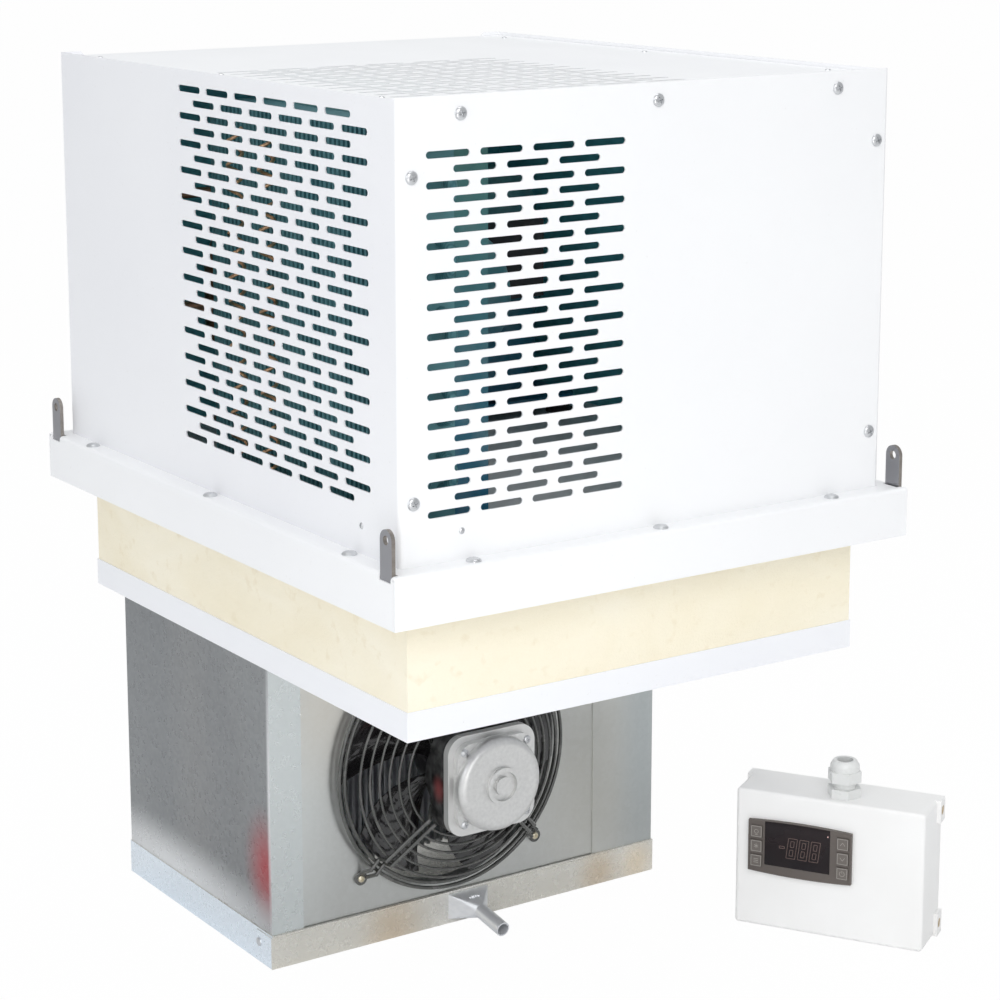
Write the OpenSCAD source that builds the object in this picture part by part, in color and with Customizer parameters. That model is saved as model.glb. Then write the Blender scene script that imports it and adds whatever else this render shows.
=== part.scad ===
/* [Casing] */
// Width of the casing, left to right
casing_w = 430; // [400:5:520]
// Depth of the casing, front to rear
casing_d = 515; // [500:5:620]
// Height of the casing above the roof flange
casing_h = 318; // [310:2:400]
// Thickness of the painted sheet of the casing and the flange
sheet = 1.2; // [0.8:0.1:1.6]
// Outside radius of the bends at the front corners
bend_r = 3.5; // [2.5:0.5:6]
// Step from the upper edge of the casing down to the top panel
lid_drop = 4; // [2:1:8]
// Step from the front panel's upper edge down to that of the side panels
edge_step = 1; // [0.5:0.5:2]
// Width of the folded returns of the side panels
return_w = 22; // [18:1:28]

/* [Air slots] */
// Length of one punched slot
slot_l = 34.8; // [28:0.2:35]
// Height of one punched slot
slot_h = 5; // [3:0.5:6]
// Bridge of sheet between two slots of a row
slot_gap = 8.4; // [7:0.2:12]
// Height from one row of slots to the next
row_pitch = 10.2; // [9:0.2:14]
// Slots in a full row of the front panel
front_cols = 4; // [3:1:5]
// Slots in a row of the left panel
side_cols = 6; // [4:1:6]
// Slots in a full row of the top panel
top_cols = 6; // [4:1:7]
// Rows of slots in the top panel
top_rows = 27; // [15:2:31]
// Columns of slots in the air outlet of the right panel
outlet_cols = 4; // [3:1:5]

/* [Roof flange and plug] */
// Overhang of the flange at the sides and the rear
flange_side = 15; // [13:1:30]
// Overhang of the flange at the front
flange_front = 17; // [14:1:30]
// Height of the folded flange
flange_h = 37.4; // [30:0.2:50]
// Inset of the insulated plug from the casing on every side
plug_inset = 13.7; // [10:0.1:20]
// Depth of the insulated plug below the casing
plug_h = 128.8; // [110:0.2:180]
// Height of the white tray round the plug's lower edge
tray_h = 21.5; // [15:0.5:30]
// Sheet of the plug tray, of the evaporator casing and of the coil plates
thin_sheet = 1; // [0.6:0.1:1.2]

/* [Evaporator] */
// Inset of the evaporator casing from the plug at the sides and the rear
evap_inset = 15.5; // [12:0.5:25]
// Depth of the evaporator casing, front to rear
evap_d = 245.7; // [235:0.1:260]
// Height of the evaporator casing down to the drain pan's upper edge
evap_h = 227; // [222:1:260]
// Height of the drain pan
pan_h = 28; // [24:1:40]
// Sheet of the drain pan
pan_sheet = 0.7; // [0.5:0.1:1]
// Outside diameter of the drain spout
spout_d = 12; // [10:1:14]
// Length of the drain spout
spout_l = 52; // [30:1:60]

/* [Evaporator fan] */
// Diameter of the fan
fan_d = 196; // [180:2:200]
// Diameter of the opening that the fan turns in
orifice_d = 206; // [204:1:212]
// Centre of the fan, from the left side of the evaporator casing
fan_from_left = 165.3; // [150:0.1:180]
// Outside diameter of the wire guard
guard_d = 216; // [212:1:218]
// Thickness of the guard's heavy wires
wire_d = 3.2; // [2.5:0.1:3.4]
// Thickness of the guard's light wires
thin_wire_d = 2.2; // [1.6:0.1:2.6]
// Number of fan blades
blades = 5; // [4:1:7]

/* [Condensing unit] */
// Diameter of the compressor's shell
shell_d = 156; // [130:2:166]
// Height of the compressor's shell
shell_h = 196; // [160:2:210]
// Diameter of the condenser fan
cond_fan_d = 226; // [200:2:236]
// Thickness of the condenser coil
coil_t = 44; // [40:1:50]
// Outside diameter of the suction pipe
suction_d = 12; // [9:1:14]
// Outside diameter of the liquid and discharge pipes
liquid_d = 8; // [6:0.5:10]

/* [Control box] */
// Width of the control box
box_w = 156; // [140:2:200]
// Height of the control box
box_h = 115; // [100:1:140]
// Depth of the control box
box_d = 50; // [44:1:70]
// Place of the box's near corner, from the casing's left side
box_x = 390; // [360:5:420]
// Place of the box's near corner, from the casing's front
box_y = 113; // [90:1:120]
// Angle that the box is turned to
box_turn = -58; // [-70:1:-50]
// Width of the controller's bezel
bezel_w = 86; // [80:1:92]
// Height of the controller's bezel
bezel_h = 46; // [42:1:48]
// Travel of a push button
button_travel = 0.8; // [0.4:0.1:1]
// Width across the flats of the cable gland
gland_af = 24; // [20:1:28]

/* [Hidden] */

// Clearances and overruns shared by all pieces
over = 1;
fit = 0.3;
shaft_gap = 0.05;
round_fn = 48;
wire_fn = 20;

// Levels, measured from the ledge that the casing stands on
lid_top = casing_h - lid_drop;
side_top = casing_h - edge_step;
tray_z = -plug_h;
evap_z = tray_z - evap_h;
floor_z = evap_z - pan_h;

// Outlines of the plug and of the evaporator casing
plug_x2 = casing_w - plug_inset;
plug_y2 = casing_d - plug_inset;
evap_x1 = plug_inset + evap_inset;
evap_x2 = casing_w - evap_x1;
evap_y2 = casing_d - plug_inset - evap_inset;
evap_y1 = evap_y2 - evap_d;
evap_w = evap_x2 - evap_x1;

// Corners of the control box on the floor
box_front = [cos(box_turn), sin(box_turn)];
box_back = [-sin(box_turn), cos(box_turn)];
box_round = 3;
pad_out = 3;
box_c1 = [box_x, box_y] + (box_w - box_round) * box_front + box_round * box_back;
box_c2 = [box_x, box_y] + (box_w + pad_out) * box_front + box_d * box_back;

// Cable glands: hexagon, cap and the length of the rear one
hex_h = 7.5;
cap_h = 13;
rear_gland_l = hex_h + 0.75 * cap_h;

// Origin: middle of the whole set's outline, at the level of the drain pan's underside
x_low = -flange_side;
x_high = max(casing_w + flange_side, box_c2[0]);
y_low = min(-flange_front, box_c1[1] - box_round);
y_high = casing_d + max(flange_side, rear_gland_l);
origin = [(x_low + x_high) / 2, (y_low + y_high) / 2, floor_z];

// Screws and bolts
screw_head_d = 9.5;
screw_head_h = 3;
screw_shank_d = 4;
screw_shank_l = 6;
bolt_head_d = 11;
bolt_head_h = 3.2;
small_head_d = 5.5;
small_head_h = 1.6;
top_screw_drop = 12.5;
side_screw_in = 11;
side_screw_up = 44;
side_screw_top = 53;
screw_in = 50;
small_screw_up = 20;
ledge_bolt_in = 54;

// Margins of the slot fields
front_margin_x = 22.4;
front_margin_low = 34.4;
front_margin_high = 38;
side_margin_y = 37.4;
side_margin_low = 37.7;
side_margin_high = 14;
top_margin_x = 24;
top_margin_y = 26;
slot_pitch = slot_l + slot_gap;

// Joggle of the side panels behind the front panel
joggle_in = bend_r + sheet;
joggle_back = bend_r + sheet;
ear_w = 22;
ear_cut = 5;
lid_flange = 18;

// Lifting lugs
lug_w = 15;
lug_t = 3;
lug_up = 31;
lug_down = 24;
lug_hole_d = 6.6;
lug_hole_drop = 7.5;
lug_in = 13;
notch_h = 5;

// Refrigerant pipes
pipe_bend = 10;
riser_x = 44;

// Finned coils
tube_d = 9.5;
tube_pitch = 25;
evap_coil_in = 30;
evap_coil_front = 70;
evap_coil_rear = 26;
evap_coil_low = 12;
cond_coil_x = 26;
cond_coil_y = 40;
cond_coil_l = 268;
cond_coil_foot = 12;
cond_coil_clear = 20.8;
cond_coil_h = lid_top - sheet - cond_coil_foot - cond_coil_clear;

// Evaporator fan, guard and motor
fan_x = evap_x1 + fan_from_left;
fan_z = (tray_z + evap_z) / 2;
seam_left = 28.4;
seam_right = 62.2;
hub_d = 46;
hub_h = 24;
blade_t = 1.5;
rotor_back = 14;
fan_blade_l = 24;
basket_count = 6;
basket_in = 14;
ring_step = 7.6;
foot_r = 119;
foot_d = 11;
motor_face = 80;
motor_w = 72;
motor_corner = 14;
cover_d = 76;
stator_w = 82;
stator_corner = 15;
stator_l = 24;
cover_l = 18;
motor_back_l = 14;
shaft_d = 6;
plate_w = 64;
mount_pitch = 59;

// Condenser fan and motor
cond_fan_y = cond_coil_y + cond_coil_l / 2;
cond_fan_z = cond_coil_foot + cond_coil_h / 2;
shroud_depth = 28;
cond_orifice_gap = 4;
cond_blade_l = 26;
cond_motor_d = 84;
cond_motor_l = 62;
bracket_w = 24;
bracket_t = 2.5;

// Compressor
comp_x = 302;
comp_round = 34;
base_w = 196;
base_l = 124;
base_t = 3;
grommet_h = 14;
grommet_d = 24;
seam_rise = 2.5;
seam_h = 5;

// Control box details
box_wall = 2.5;
base_depth = 13;
bezel_left = 11.7;
bezel_top = 22.3;
bezel_out = 3.4;
bezel_bulge = 1.6;
body_w = 71;
body_h = 29;
body_l = 30;
gland_share = 0.54;
neck_h = 5;
pad_h = 19;
pad_d = 13;

// Puts a piece, drawn from the casing's front left corner, in the frame of the whole set
module placed() {
    translate(-origin) children();
}

// Turns a piece drawn along +Z to point out of the front, the left, the right or the rear
module face_front() {
    rotate([90, 0, 0]) children();
}

module face_left() {
    rotate([0, -90, 0]) children();
}

module face_right() {
    rotate([0, 90, 0]) children();
}

module face_rear() {
    rotate([-90, 0, 0]) children();
}

// A drawing in the XY plane, stood up as a plate that faces front or sideways
module upright_x(y, t) {
    translate([0, y + t, 0]) rotate([90, 0, 0]) linear_extrude(t) children();
}

module upright_y(x, t) {
    translate([x, 0, 0]) rotate([90, 0, 90]) linear_extrude(t) children();
}

// One slot with round ends, from its left end
module slot2d() {
    translate([slot_h / 2, -slot_h / 2]) square([slot_l - slot_h, slot_h]);
    translate([slot_h / 2, 0]) circle(d = slot_h, $fn = 24);
    translate([slot_l - slot_h / 2, 0]) circle(d = slot_h, $fn = 24);
}

// Rows of slots, every second row shifted by half a pitch
module slot_field(rows, even_cols, odd_cols, even_shift, odd_shift) {
    for (r = [0:rows - 1])
        for (c = [0:(r % 2 == 0 ? even_cols : odd_cols) - 1])
            translate([c * slot_pitch + (r % 2 == 0 ? even_shift : odd_shift), r * row_pitch]) slot2d();
}

// Odd number of rows that fits a height between two margins
function odd_rows(h, low, high) = 2 * floor((h - low - high) / (2 * row_pitch)) + 1;

// A rectangle with round corners, from its lower left corner
module round_rect(w, h, r) {
    translate([r, 0]) square([w - 2 * r, h]);
    translate([0, r]) square([w, h - 2 * r]);
    for (x = [r, w - r]) for (y = [r, h - r]) translate([x, y]) circle(r = r, $fn = 32);
}

// A round head with a low dome and a shank, the seat at zero
module domed_screw(head_d, head_h, shank_d, shank_l) {
    rim = head_h / 3;
    dome = head_h - rim;
    ball = (head_d * head_d / 4 + dome * dome) / (2 * dome);
    cylinder(d = head_d, h = rim, $fn = 32);
    translate([0, 0, rim]) intersection() {
        cylinder(d = head_d, h = dome, $fn = 32);
        translate([0, 0, dome - ball]) sphere(r = ball, $fn = 64);
    }
    if (shank_l > 0) translate([0, 0, -shank_l]) cylinder(d = shank_d, h = shank_l, $fn = 24);
}

// Unit vector and length of a straight run
function unit(v) = v / norm(v);

// Rotation that carries +Z to a direction, with a chosen second axis
module aimed(at, z_axis, x_axis) {
    y_axis = cross(z_axis, x_axis);
    multmatrix([
        [x_axis[0], y_axis[0], z_axis[0], at[0]],
        [x_axis[1], y_axis[1], z_axis[1], at[1]],
        [x_axis[2], y_axis[2], z_axis[2], at[2]],
        [0, 0, 0, 1]
    ]) children();
}

// Any unit vector square to a given one
function square_to(v) = abs(v[2]) > 0.9 ? unit(cross(v, [1, 0, 0])) : unit(cross(v, [0, 0, 1]));

// Length that a bend takes from a run, for the turn between two directions
function turn(a, b) = acos(max(-1, min(1, a * b)));

function bend_reach(p0, p1, p2, bend) = bend * tan(turn(unit(p1 - p0), unit(p2 - p1)) / 2);

// A tube or a wire along points, with a true bend at each inner point
module pipe(points, d, bend) {
    last = len(points) - 1;
    reach = [for (i = [0:last]) i == 0 || i == last ? 0 : bend_reach(points[i - 1], points[i], points[i + 1], bend)];
    for (i = [0:last - 1]) {
        dir = unit(points[i + 1] - points[i]);
        from = points[i] + dir * reach[i];
        to = points[i + 1] - dir * reach[i + 1];
        aimed(from, dir, square_to(dir)) cylinder(d = d, h = norm(to - from), $fn = 24);
    }
    for (i = [1:last - 1]) {
        dir_in = unit(points[i] - points[i - 1]);
        dir_out = unit(points[i + 1] - points[i]);
        inward = unit(dir_out - dir_in * (dir_in * dir_out));
        aimed(points[i] - dir_in * reach[i] + inward * bend, cross(dir_in, inward), -inward)
            rotate_extrude(angle = turn(dir_in, dir_out), $fn = 32) translate([bend, 0]) circle(d = d, $fn = 24);
    }
}

// A wire along points, its joints slightly full
joint_share = 1.08;

module wire(points, d) {
    for (i = [0:len(points) - 2]) {
        dir = unit(points[i + 1] - points[i]);
        aimed(points[i], dir, square_to(dir)) cylinder(d = d, h = norm(points[i + 1] - points[i]), $fn = wire_fn);
    }
    for (i = [1:len(points) - 2]) translate(points[i]) sphere(d = d * joint_share, $fn = wire_fn);
}

// A return bend of a coil, its two ends on the XY plane and its bow along +Z
module return_bend(pitch, d) {
    rotate([90, 0, 0]) rotate_extrude(angle = 180, $fn = 32) translate([pitch / 2, 0]) circle(d = d, $fn = 24);
}

// Grid point of one fan blade: share u from root to tip, share v from leading to trailing edge
function blade_point(r0, r1, depth, u, v, side) =
    let(
        r = r0 + (r1 - r0) * u,
        wide = 50 + 8 * sin(180 * u),
        sweep = 16 * u * u,
        a = sweep + wide * (v - 0.5),
        lift = depth * (1 - 0.25 * u) * (0.5 - v),
        camber = depth * 0.16 * sin(180 * v)
    ) [r * cos(a), r * sin(a), lift + camber + side * blade_t / 2];

// One curved blade round the Z axis
module blade(r0, r1, depth) {
    nu = 6;
    nv = 8;
    n = (nu + 1) * (nv + 1);
    points = [for (s = [-1, 1]) for (i = [0:nu]) for (j = [0:nv]) blade_point(r0, r1, depth, i / nu, j / nv, s)];
    function at(s, i, j) = s * n + i * (nv + 1) + j;
    low = [for (i = [0:nu - 1]) for (j = [0:nv - 1]) for (t = [0, 1])
        t == 0 ? [at(0, i, j), at(0, i + 1, j), at(0, i + 1, j + 1)]
               : [at(0, i, j), at(0, i + 1, j + 1), at(0, i, j + 1)]];
    high = [for (i = [0:nu - 1]) for (j = [0:nv - 1]) for (t = [0, 1])
        t == 0 ? [at(1, i, j), at(1, i + 1, j + 1), at(1, i + 1, j)]
               : [at(1, i, j), at(1, i, j + 1), at(1, i + 1, j + 1)]];
    ends = [for (j = [0:nv - 1]) for (i = [0, nu]) for (t = [0, 1])
        i == 0 ? (t == 0 ? [at(0, i, j), at(0, i, j + 1), at(1, i, j + 1)]
                         : [at(0, i, j), at(1, i, j + 1), at(1, i, j)])
               : (t == 0 ? [at(0, i, j), at(1, i, j + 1), at(0, i, j + 1)]
                         : [at(0, i, j), at(1, i, j), at(1, i, j + 1)])];
    edges = [for (i = [0:nu - 1]) for (j = [0, nv]) for (t = [0, 1])
        j == 0 ? (t == 0 ? [at(0, i, j), at(1, i + 1, j), at(0, i + 1, j)]
                         : [at(0, i, j), at(1, i, j), at(1, i + 1, j)])
               : (t == 0 ? [at(0, i, j), at(0, i + 1, j), at(1, i + 1, j)]
                         : [at(0, i, j), at(1, i + 1, j), at(1, i, j)])];
    polyhedron(points, concat(low, high, ends, edges));
}

// A hub with blades round the Z axis, the hub's rear face at zero
module rotor(tip_d, core_d, core_h, depth) {
    cylinder(d = core_d, h = core_h, $fn = round_fn);
    for (k = [0:blades - 1])
        rotate([0, 0, k * 360 / blades]) translate([0, 0, core_h / 2]) blade(core_d / 2 - over, tip_d / 2, depth);
}

// Front panel of the casing, bent round both front corners
module front_section() {
    translate([bend_r, 0]) square([casing_w - 2 * bend_r, sheet]);
    for (side = [0, 1])
        translate([side * casing_w, 0]) mirror([side, 0]) intersection() {
            square([bend_r, bend_r]);
            translate([bend_r, bend_r]) difference() {
                circle(r = bend_r, $fn = round_fn);
                circle(r = bend_r - sheet, $fn = round_fn);
            }
        }
}

front_screw_places = [
    [screw_in, casing_h - top_screw_drop], [casing_w / 2, casing_h - top_screw_drop],
    [casing_w - screw_in, casing_h - top_screw_drop],
    [side_screw_in, side_screw_up], [side_screw_in, casing_h - side_screw_top],
    [casing_w - side_screw_in, side_screw_up], [casing_w - side_screw_in, casing_h - side_screw_top]
];

module front_panel() {
    color("white") placed() difference() {
        linear_extrude(casing_h) front_section();
        upright_x(-over, sheet + 2 * over) translate([front_margin_x, front_margin_low])
            slot_field(odd_rows(casing_h, front_margin_low, front_margin_high), front_cols, front_cols - 1,
                0, slot_pitch / 2);
        for (p = front_screw_places)
            upright_x(-over, sheet + 2 * over) translate(p) circle(d = screw_shank_d + fit, $fn = 24);
    }
}

// Side panel in plan: return behind the front panel, joggle, side and rear return
module side_section() {
    polygon([
        [joggle_in, sheet], [return_w, sheet], [return_w, 2 * sheet], [joggle_in + sheet, 2 * sheet],
        [joggle_in + sheet, joggle_back + sheet], [sheet, joggle_back + sheet], [sheet, casing_d - sheet],
        [sheet, casing_d], [0, casing_d], [0, joggle_back - sheet], [sheet, joggle_back - sheet],
        [sheet, joggle_back], [joggle_in, joggle_back]
    ]);
}

module side_blank() {
    return_top = lid_top - sheet;
    difference() {
        union() {
            linear_extrude(side_top) side_section();
            upright_x(casing_d - sheet, sheet) polygon([
                [0, 0], [ear_w, 0], [ear_w, side_top - ear_cut], [ear_w - ear_cut, side_top], [0, side_top]
            ]);
        }
        translate([sheet + fit, 0, return_top]) cube([return_w, joggle_back + 2 * sheet, lid_drop + 2 * sheet]);
        for (z = [side_screw_up, casing_h - side_screw_top])
            upright_x(0, casing_d + over) translate([side_screw_in, z]) circle(d = screw_shank_d + fit, $fn = 24);
    }
}

module left_panel() {
    color("white") placed() difference() {
        side_blank();
        upright_y(-over, sheet + 2 * over) translate([side_margin_y, side_margin_low])
            slot_field(odd_rows(casing_h, side_margin_low, side_margin_high), side_cols, side_cols, slot_pitch / 2, 0);
    }
}

module right_panel() {
    outlet_y = cond_fan_y - (outlet_cols * slot_pitch - slot_gap) / 2;
    color("white") placed() difference() {
        translate([casing_w, 0, 0]) mirror([1, 0, 0]) side_blank();
        upright_y(casing_w - sheet - over, sheet + 2 * over) translate([outlet_y, side_margin_low])
            slot_field(odd_rows(casing_h, side_margin_low, side_margin_high), outlet_cols, outlet_cols - 1,
                0, slot_pitch / 2);
    }
}

// Rear panel between the ears, with the hole of the mains cable gland
rear_gland_x = 90;
rear_gland_z = 40;
rear_gland_d = 20;
mains_d = 9;

module rear_panel() {
    color("white") placed() difference() {
        translate([sheet, casing_d - 2 * sheet, 0]) cube([casing_w - 2 * sheet, sheet, lid_top - sheet]);
        upright_x(casing_d - 2 * sheet - over, sheet + 2 * over) {
            translate([casing_w - rear_gland_x, rear_gland_z]) circle(d = rear_gland_d, $fn = round_fn);
            for (x = [side_screw_in, casing_w - side_screw_in])
                for (z = [side_screw_up, casing_h - side_screw_top])
                    translate([x, z]) circle(d = screw_shank_d + fit, $fn = 24);
        }
    }
}

// Top panel that lies between the upper edges, with a folded flange at the front
top_screw_in = 18;
top_screw_y_shares = [0.093, 0.534, 0.932];
top_screw_places = [
    for (x = [top_screw_in, casing_w - top_screw_in]) for (y = top_screw_y_shares * casing_d) [x, y]
];

module top_panel() {
    x1 = sheet + fit;
    w = casing_w - 2 * x1;
    y2 = casing_d - sheet - fit;
    color("white") placed() difference() {
        union() {
            translate([x1, bend_r, lid_top - sheet]) cube([w, y2 - bend_r, sheet]);
            translate([bend_r, sheet, lid_top - sheet]) cube([casing_w - 2 * bend_r, bend_r, sheet]);
            translate([return_w + fit, sheet, lid_top - lid_flange])
                cube([casing_w - 2 * return_w - 2 * fit, sheet, lid_flange - sheet / 2]);
        }
        translate([top_margin_x, top_margin_y, lid_top - sheet - over]) linear_extrude(sheet + 2 * over)
            slot_field(top_rows, top_cols, top_cols - 1, 0, slot_pitch / 2);
        for (p = front_screw_places)
            upright_x(0, 3 * sheet) translate(p) circle(d = screw_shank_d + fit, $fn = 24);
        for (p = top_screw_places)
            translate([p[0], p[1], lid_top - sheet - over])
                cylinder(d = screw_shank_d + fit, h = sheet + 2 * over, $fn = 24);
    }
}

// All screws of the casing, one solid each
module panel_screws() {
    color("silver") placed() {
        for (p = front_screw_places)
            translate([p[0], 0, p[1]]) face_front() domed_screw(screw_head_d, screw_head_h, screw_shank_d, screw_shank_l);
        for (p = top_screw_places)
            translate([p[0], p[1], lid_top]) domed_screw(small_head_d, small_head_h, screw_shank_d, screw_shank_l);
        for (x = [side_screw_in, casing_w - side_screw_in])
            for (z = [side_screw_up, casing_h - side_screw_top])
                translate([x, casing_d, z]) face_rear()
                    domed_screw(screw_head_d, screw_head_h, screw_shank_d, screw_shank_l);
        translate([screw_in, 0, small_screw_up]) face_front()
            domed_screw(small_head_d, small_head_h, small_head_d / 2, 0);
        translate([0, screw_in, small_screw_up]) face_left()
            domed_screw(small_head_d, small_head_h, small_head_d / 2, 0);
    }
}

// Folded roof flange: a ledge plate with bent walls and returns, one sheet with butted corners
fold_r = 3;
pipe_clear = 3;
ledge_bolt_places = concat(
    [for (y = [ledge_bolt_in, casing_d / 2, casing_d - ledge_bolt_in])
        for (x = [-flange_side / 2, casing_w + flange_side / 2]) [x, y]],
    [for (x = [ledge_bolt_in, casing_w / 2, casing_w - ledge_bolt_in])
        for (y = [-flange_front / 2, casing_d + flange_side / 2]) [x, y]]
);

module rail_section(width) {
    translate([-fold_r, -fold_r]) intersection() {
        square([fold_r, fold_r]);
        difference() {
            circle(r = fold_r, $fn = 32);
            circle(r = fold_r - sheet, $fn = 32);
        }
    }
    translate([-sheet, -flange_h]) square([sheet, flange_h - fold_r]);
    translate([-width, -flange_h]) square([width, sheet]);
}

module lug_place() {
    for (x = [-flange_side + sheet, casing_w + flange_side - sheet - lug_t])
        for (y = [-flange_front + lug_in, casing_d + flange_side - lug_in])
            translate([x, y, 0]) children();
}

module riser_holes(low, h) {
    translate([riser_x, suction_y, low]) cylinder(d = suction_d + 2 * pipe_clear, h = h, $fn = 24);
    translate([riser_x, expansion_y, low]) cylinder(d = liquid_d + 2 * pipe_clear, h = h, $fn = 24);
}

module roof_flange() {
    long = casing_w + 2 * flange_side;
    side_run = casing_d + flange_front + flange_side;
    side_width = flange_side + plug_inset - fit;
    front_width = flange_front + plug_inset - fit;
    color("white") placed() difference() {
        union() {
            translate([-flange_side + fold_r, -flange_front + fold_r, -sheet])
                cube([long - 2 * fold_r, side_run - 2 * fold_r, sheet]);
            translate([-flange_side, -flange_front, 0]) rotate([90, 0, 90]) linear_extrude(long)
                mirror([1, 0]) rail_section(front_width);
            translate([-flange_side, casing_d + flange_side, 0]) rotate([90, 0, 90]) linear_extrude(long)
                rail_section(side_width);
            for (side = [0, 1])
                translate([side * casing_w, 0, 0]) mirror([side, 0, 0]) {
                    translate([-flange_side, casing_d + flange_side - fold_r, 0]) rotate([90, 0, 0])
                        linear_extrude(side_run - 2 * fold_r) mirror([1, 0]) rail_section(side_width);
                    translate([-flange_side, -flange_front + sheet + fit, -flange_h])
                        cube([sheet, side_run - 2 * sheet - 2 * fit, flange_h - fold_r]);
                }
        }
        lug_place() translate([-sheet - over, -lug_w / 2 - fit, -notch_h])
            cube([lug_t + 2 * sheet + 2 * over, lug_w + 2 * fit, notch_h + over]);
        riser_holes(-sheet - over, sheet + 2 * over);
        for (p = ledge_bolt_places)
            translate([p[0], p[1], -sheet - over]) cylinder(d = screw_shank_d + fit, h = sheet + 2 * over, $fn = 24);
    }
}

module plug_foam() {
    low = tray_z + thin_sheet;
    color("wheat") placed() difference() {
        translate([plug_inset, plug_inset, low]) cube([plug_x2 - plug_inset, plug_y2 - plug_inset, -sheet - low]);
        riser_holes(low - over, -low + over);
    }
}

module plug_tray() {
    color("white") placed() difference() {
        translate([plug_inset - thin_sheet, plug_inset - thin_sheet, tray_z])
            cube([plug_x2 - plug_inset + 2 * thin_sheet, plug_y2 - plug_inset + 2 * thin_sheet, tray_h]);
        translate([plug_inset, plug_inset, tray_z + thin_sheet])
            cube([plug_x2 - plug_inset, plug_y2 - plug_inset, tray_h]);
        riser_holes(tray_z - over, thin_sheet + 2 * over);
    }
}

module flange_bolts() {
    color("silver") placed() for (p = ledge_bolt_places)
        translate([p[0], p[1], 0]) domed_screw(bolt_head_d, bolt_head_h, screw_shank_d, screw_shank_l);
}

// Four straps with a round eye, standing in notches of the flange
module lug_outline() {
    difference() {
        union() {
            translate([0, lug_up - lug_w / 2]) circle(d = lug_w, $fn = round_fn);
            translate([-lug_w / 2, -lug_down]) square([lug_w, lug_up + lug_down - lug_w / 2]);
        }
        translate([0, lug_up - lug_hole_drop]) circle(d = lug_hole_d, $fn = 32);
    }
}

module lifting_lugs() {
    color("silver") placed() lug_place() upright_y(0, lug_t) lug_outline();
}

// Evaporator casing: two side sheets with returns, and the fan panel behind the front returns
side_low = evap_z - pan_h * 0.66;
panel_low = evap_z - pan_h / 6;
rear_return = 20;
rivet_in = 19;
rivet_drop = pan_h * 0.4;
rivet_d = 7;
rivet_hole_d = 3.4;

module evap_side(front_return) {
    difference() {
        translate([0, 0, side_low]) linear_extrude(tray_z - side_low) polygon([
            [0, 0], [front_return, 0], [front_return, thin_sheet], [thin_sheet, thin_sheet],
            [thin_sheet, evap_d - thin_sheet], [rear_return, evap_d - thin_sheet], [rear_return, evap_d], [0, evap_d]
        ]);
        translate([-over, rivet_in, evap_z - rivet_drop]) face_right()
            cylinder(d = rivet_hole_d, h = thin_sheet + 2 * over, $fn = 24);
    }
}

module evap_side_left() {
    color("lightgray") placed() translate([evap_x1, evap_y1, 0]) evap_side(seam_left);
}

module evap_side_right() {
    color("lightgray") placed() translate([evap_x2, evap_y1, 0]) mirror([1, 0, 0]) evap_side(seam_right);
}

// Frame of the evaporator fan: +Z points out of the front, zero on the fan panel
module at_fan() {
    translate([fan_x, evap_y1 + thin_sheet, fan_z]) face_front() children();
}

collar_l = 9;
foot_hole_d = 4.3;

module fan_panel() {
    color("lightgray") placed() difference() {
        union() {
            translate([evap_x1 + thin_sheet, evap_y1 + thin_sheet, panel_low])
                cube([evap_w - 2 * thin_sheet, thin_sheet, tray_z - panel_low]);
            at_fan() translate([0, 0, -collar_l]) cylinder(d = orifice_d + 2 * thin_sheet, h = collar_l, $fn = 96);
        }
        at_fan() translate([0, 0, -collar_l - over]) cylinder(d = orifice_d, h = collar_l + 2 * over, $fn = 96);
        at_fan() for (k = [0:3]) rotate([0, 0, 45 + 90 * k])
            translate([foot_r, 0, -thin_sheet - over]) cylinder(d = foot_hole_d, h = thin_sheet + 2 * over, $fn = 24);
    }
}

// Comb-shaped fin block: fins square to X, with a closed heart
fin_pitch = 6;
fin_gap_share = 0.5;
fin_cut = 7;

module fin_comb(l, t) {
    n = floor(l / fin_pitch);
    step = l / n;
    gap = step * fin_gap_share;
    points = concat(
        [for (i = [0:n - 1]) for (q = [[0, 0], [step - gap, 0], [step - gap, fin_cut], [step, fin_cut]]) [i * step + q[0], q[1]]],
        [for (i = [n - 1:-1:0]) for (q = [[step, t - fin_cut], [step - gap, t - fin_cut], [step - gap, t], [0, t]]) [i * step + q[0], q[1]]]
    );
    polygon(points);
}

evap_cx1 = evap_x1 + evap_coil_in;
evap_cx2 = evap_x2 - evap_coil_in;
evap_cy1 = evap_y1 + evap_coil_front;
evap_cy2 = evap_y2 - evap_coil_rear;
evap_cz = evap_z + evap_coil_low;
evap_cols = 3;
evap_rows = 8;
function evap_col_y(c) = evap_cy1 + (c + 0.5) * (evap_cy2 - evap_cy1) / evap_cols;
function evap_row_z(k) = (evap_cz + tray_z) / 2 + (k - (evap_rows - 1) / 2) * tube_pitch;
suction_y = (evap_col_y(1) + evap_col_y(2)) / 2;
expansion_y = evap_col_y(2);

module evap_fins() {
    color("gainsboro") placed() translate([evap_cx1, evap_cy1, evap_cz])
        linear_extrude(tray_z - evap_cz - fit) fin_comb(evap_cx2 - evap_cx1, evap_cy2 - evap_cy1);
}

module evap_tubes() {
    color("peru") placed() for (side = [0, 1]) {
        translate([side == 0 ? evap_cx1 - thin_sheet : evap_cx2, evap_cy1, evap_cz])
            cube([thin_sheet, evap_cy2 - evap_cy1, tray_z - evap_cz]);
        for (c = [0:evap_cols - 1]) for (k = [1 - side:2:evap_rows - 2])
            translate([side == 0 ? evap_cx1 - thin_sheet : evap_cx2 + thin_sheet, evap_col_y(c), evap_row_z(k) + tube_pitch / 2])
                rotate([0, side == 0 ? -90 : 90, 0]) return_bend(tube_pitch, tube_d);
    }
}

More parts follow.
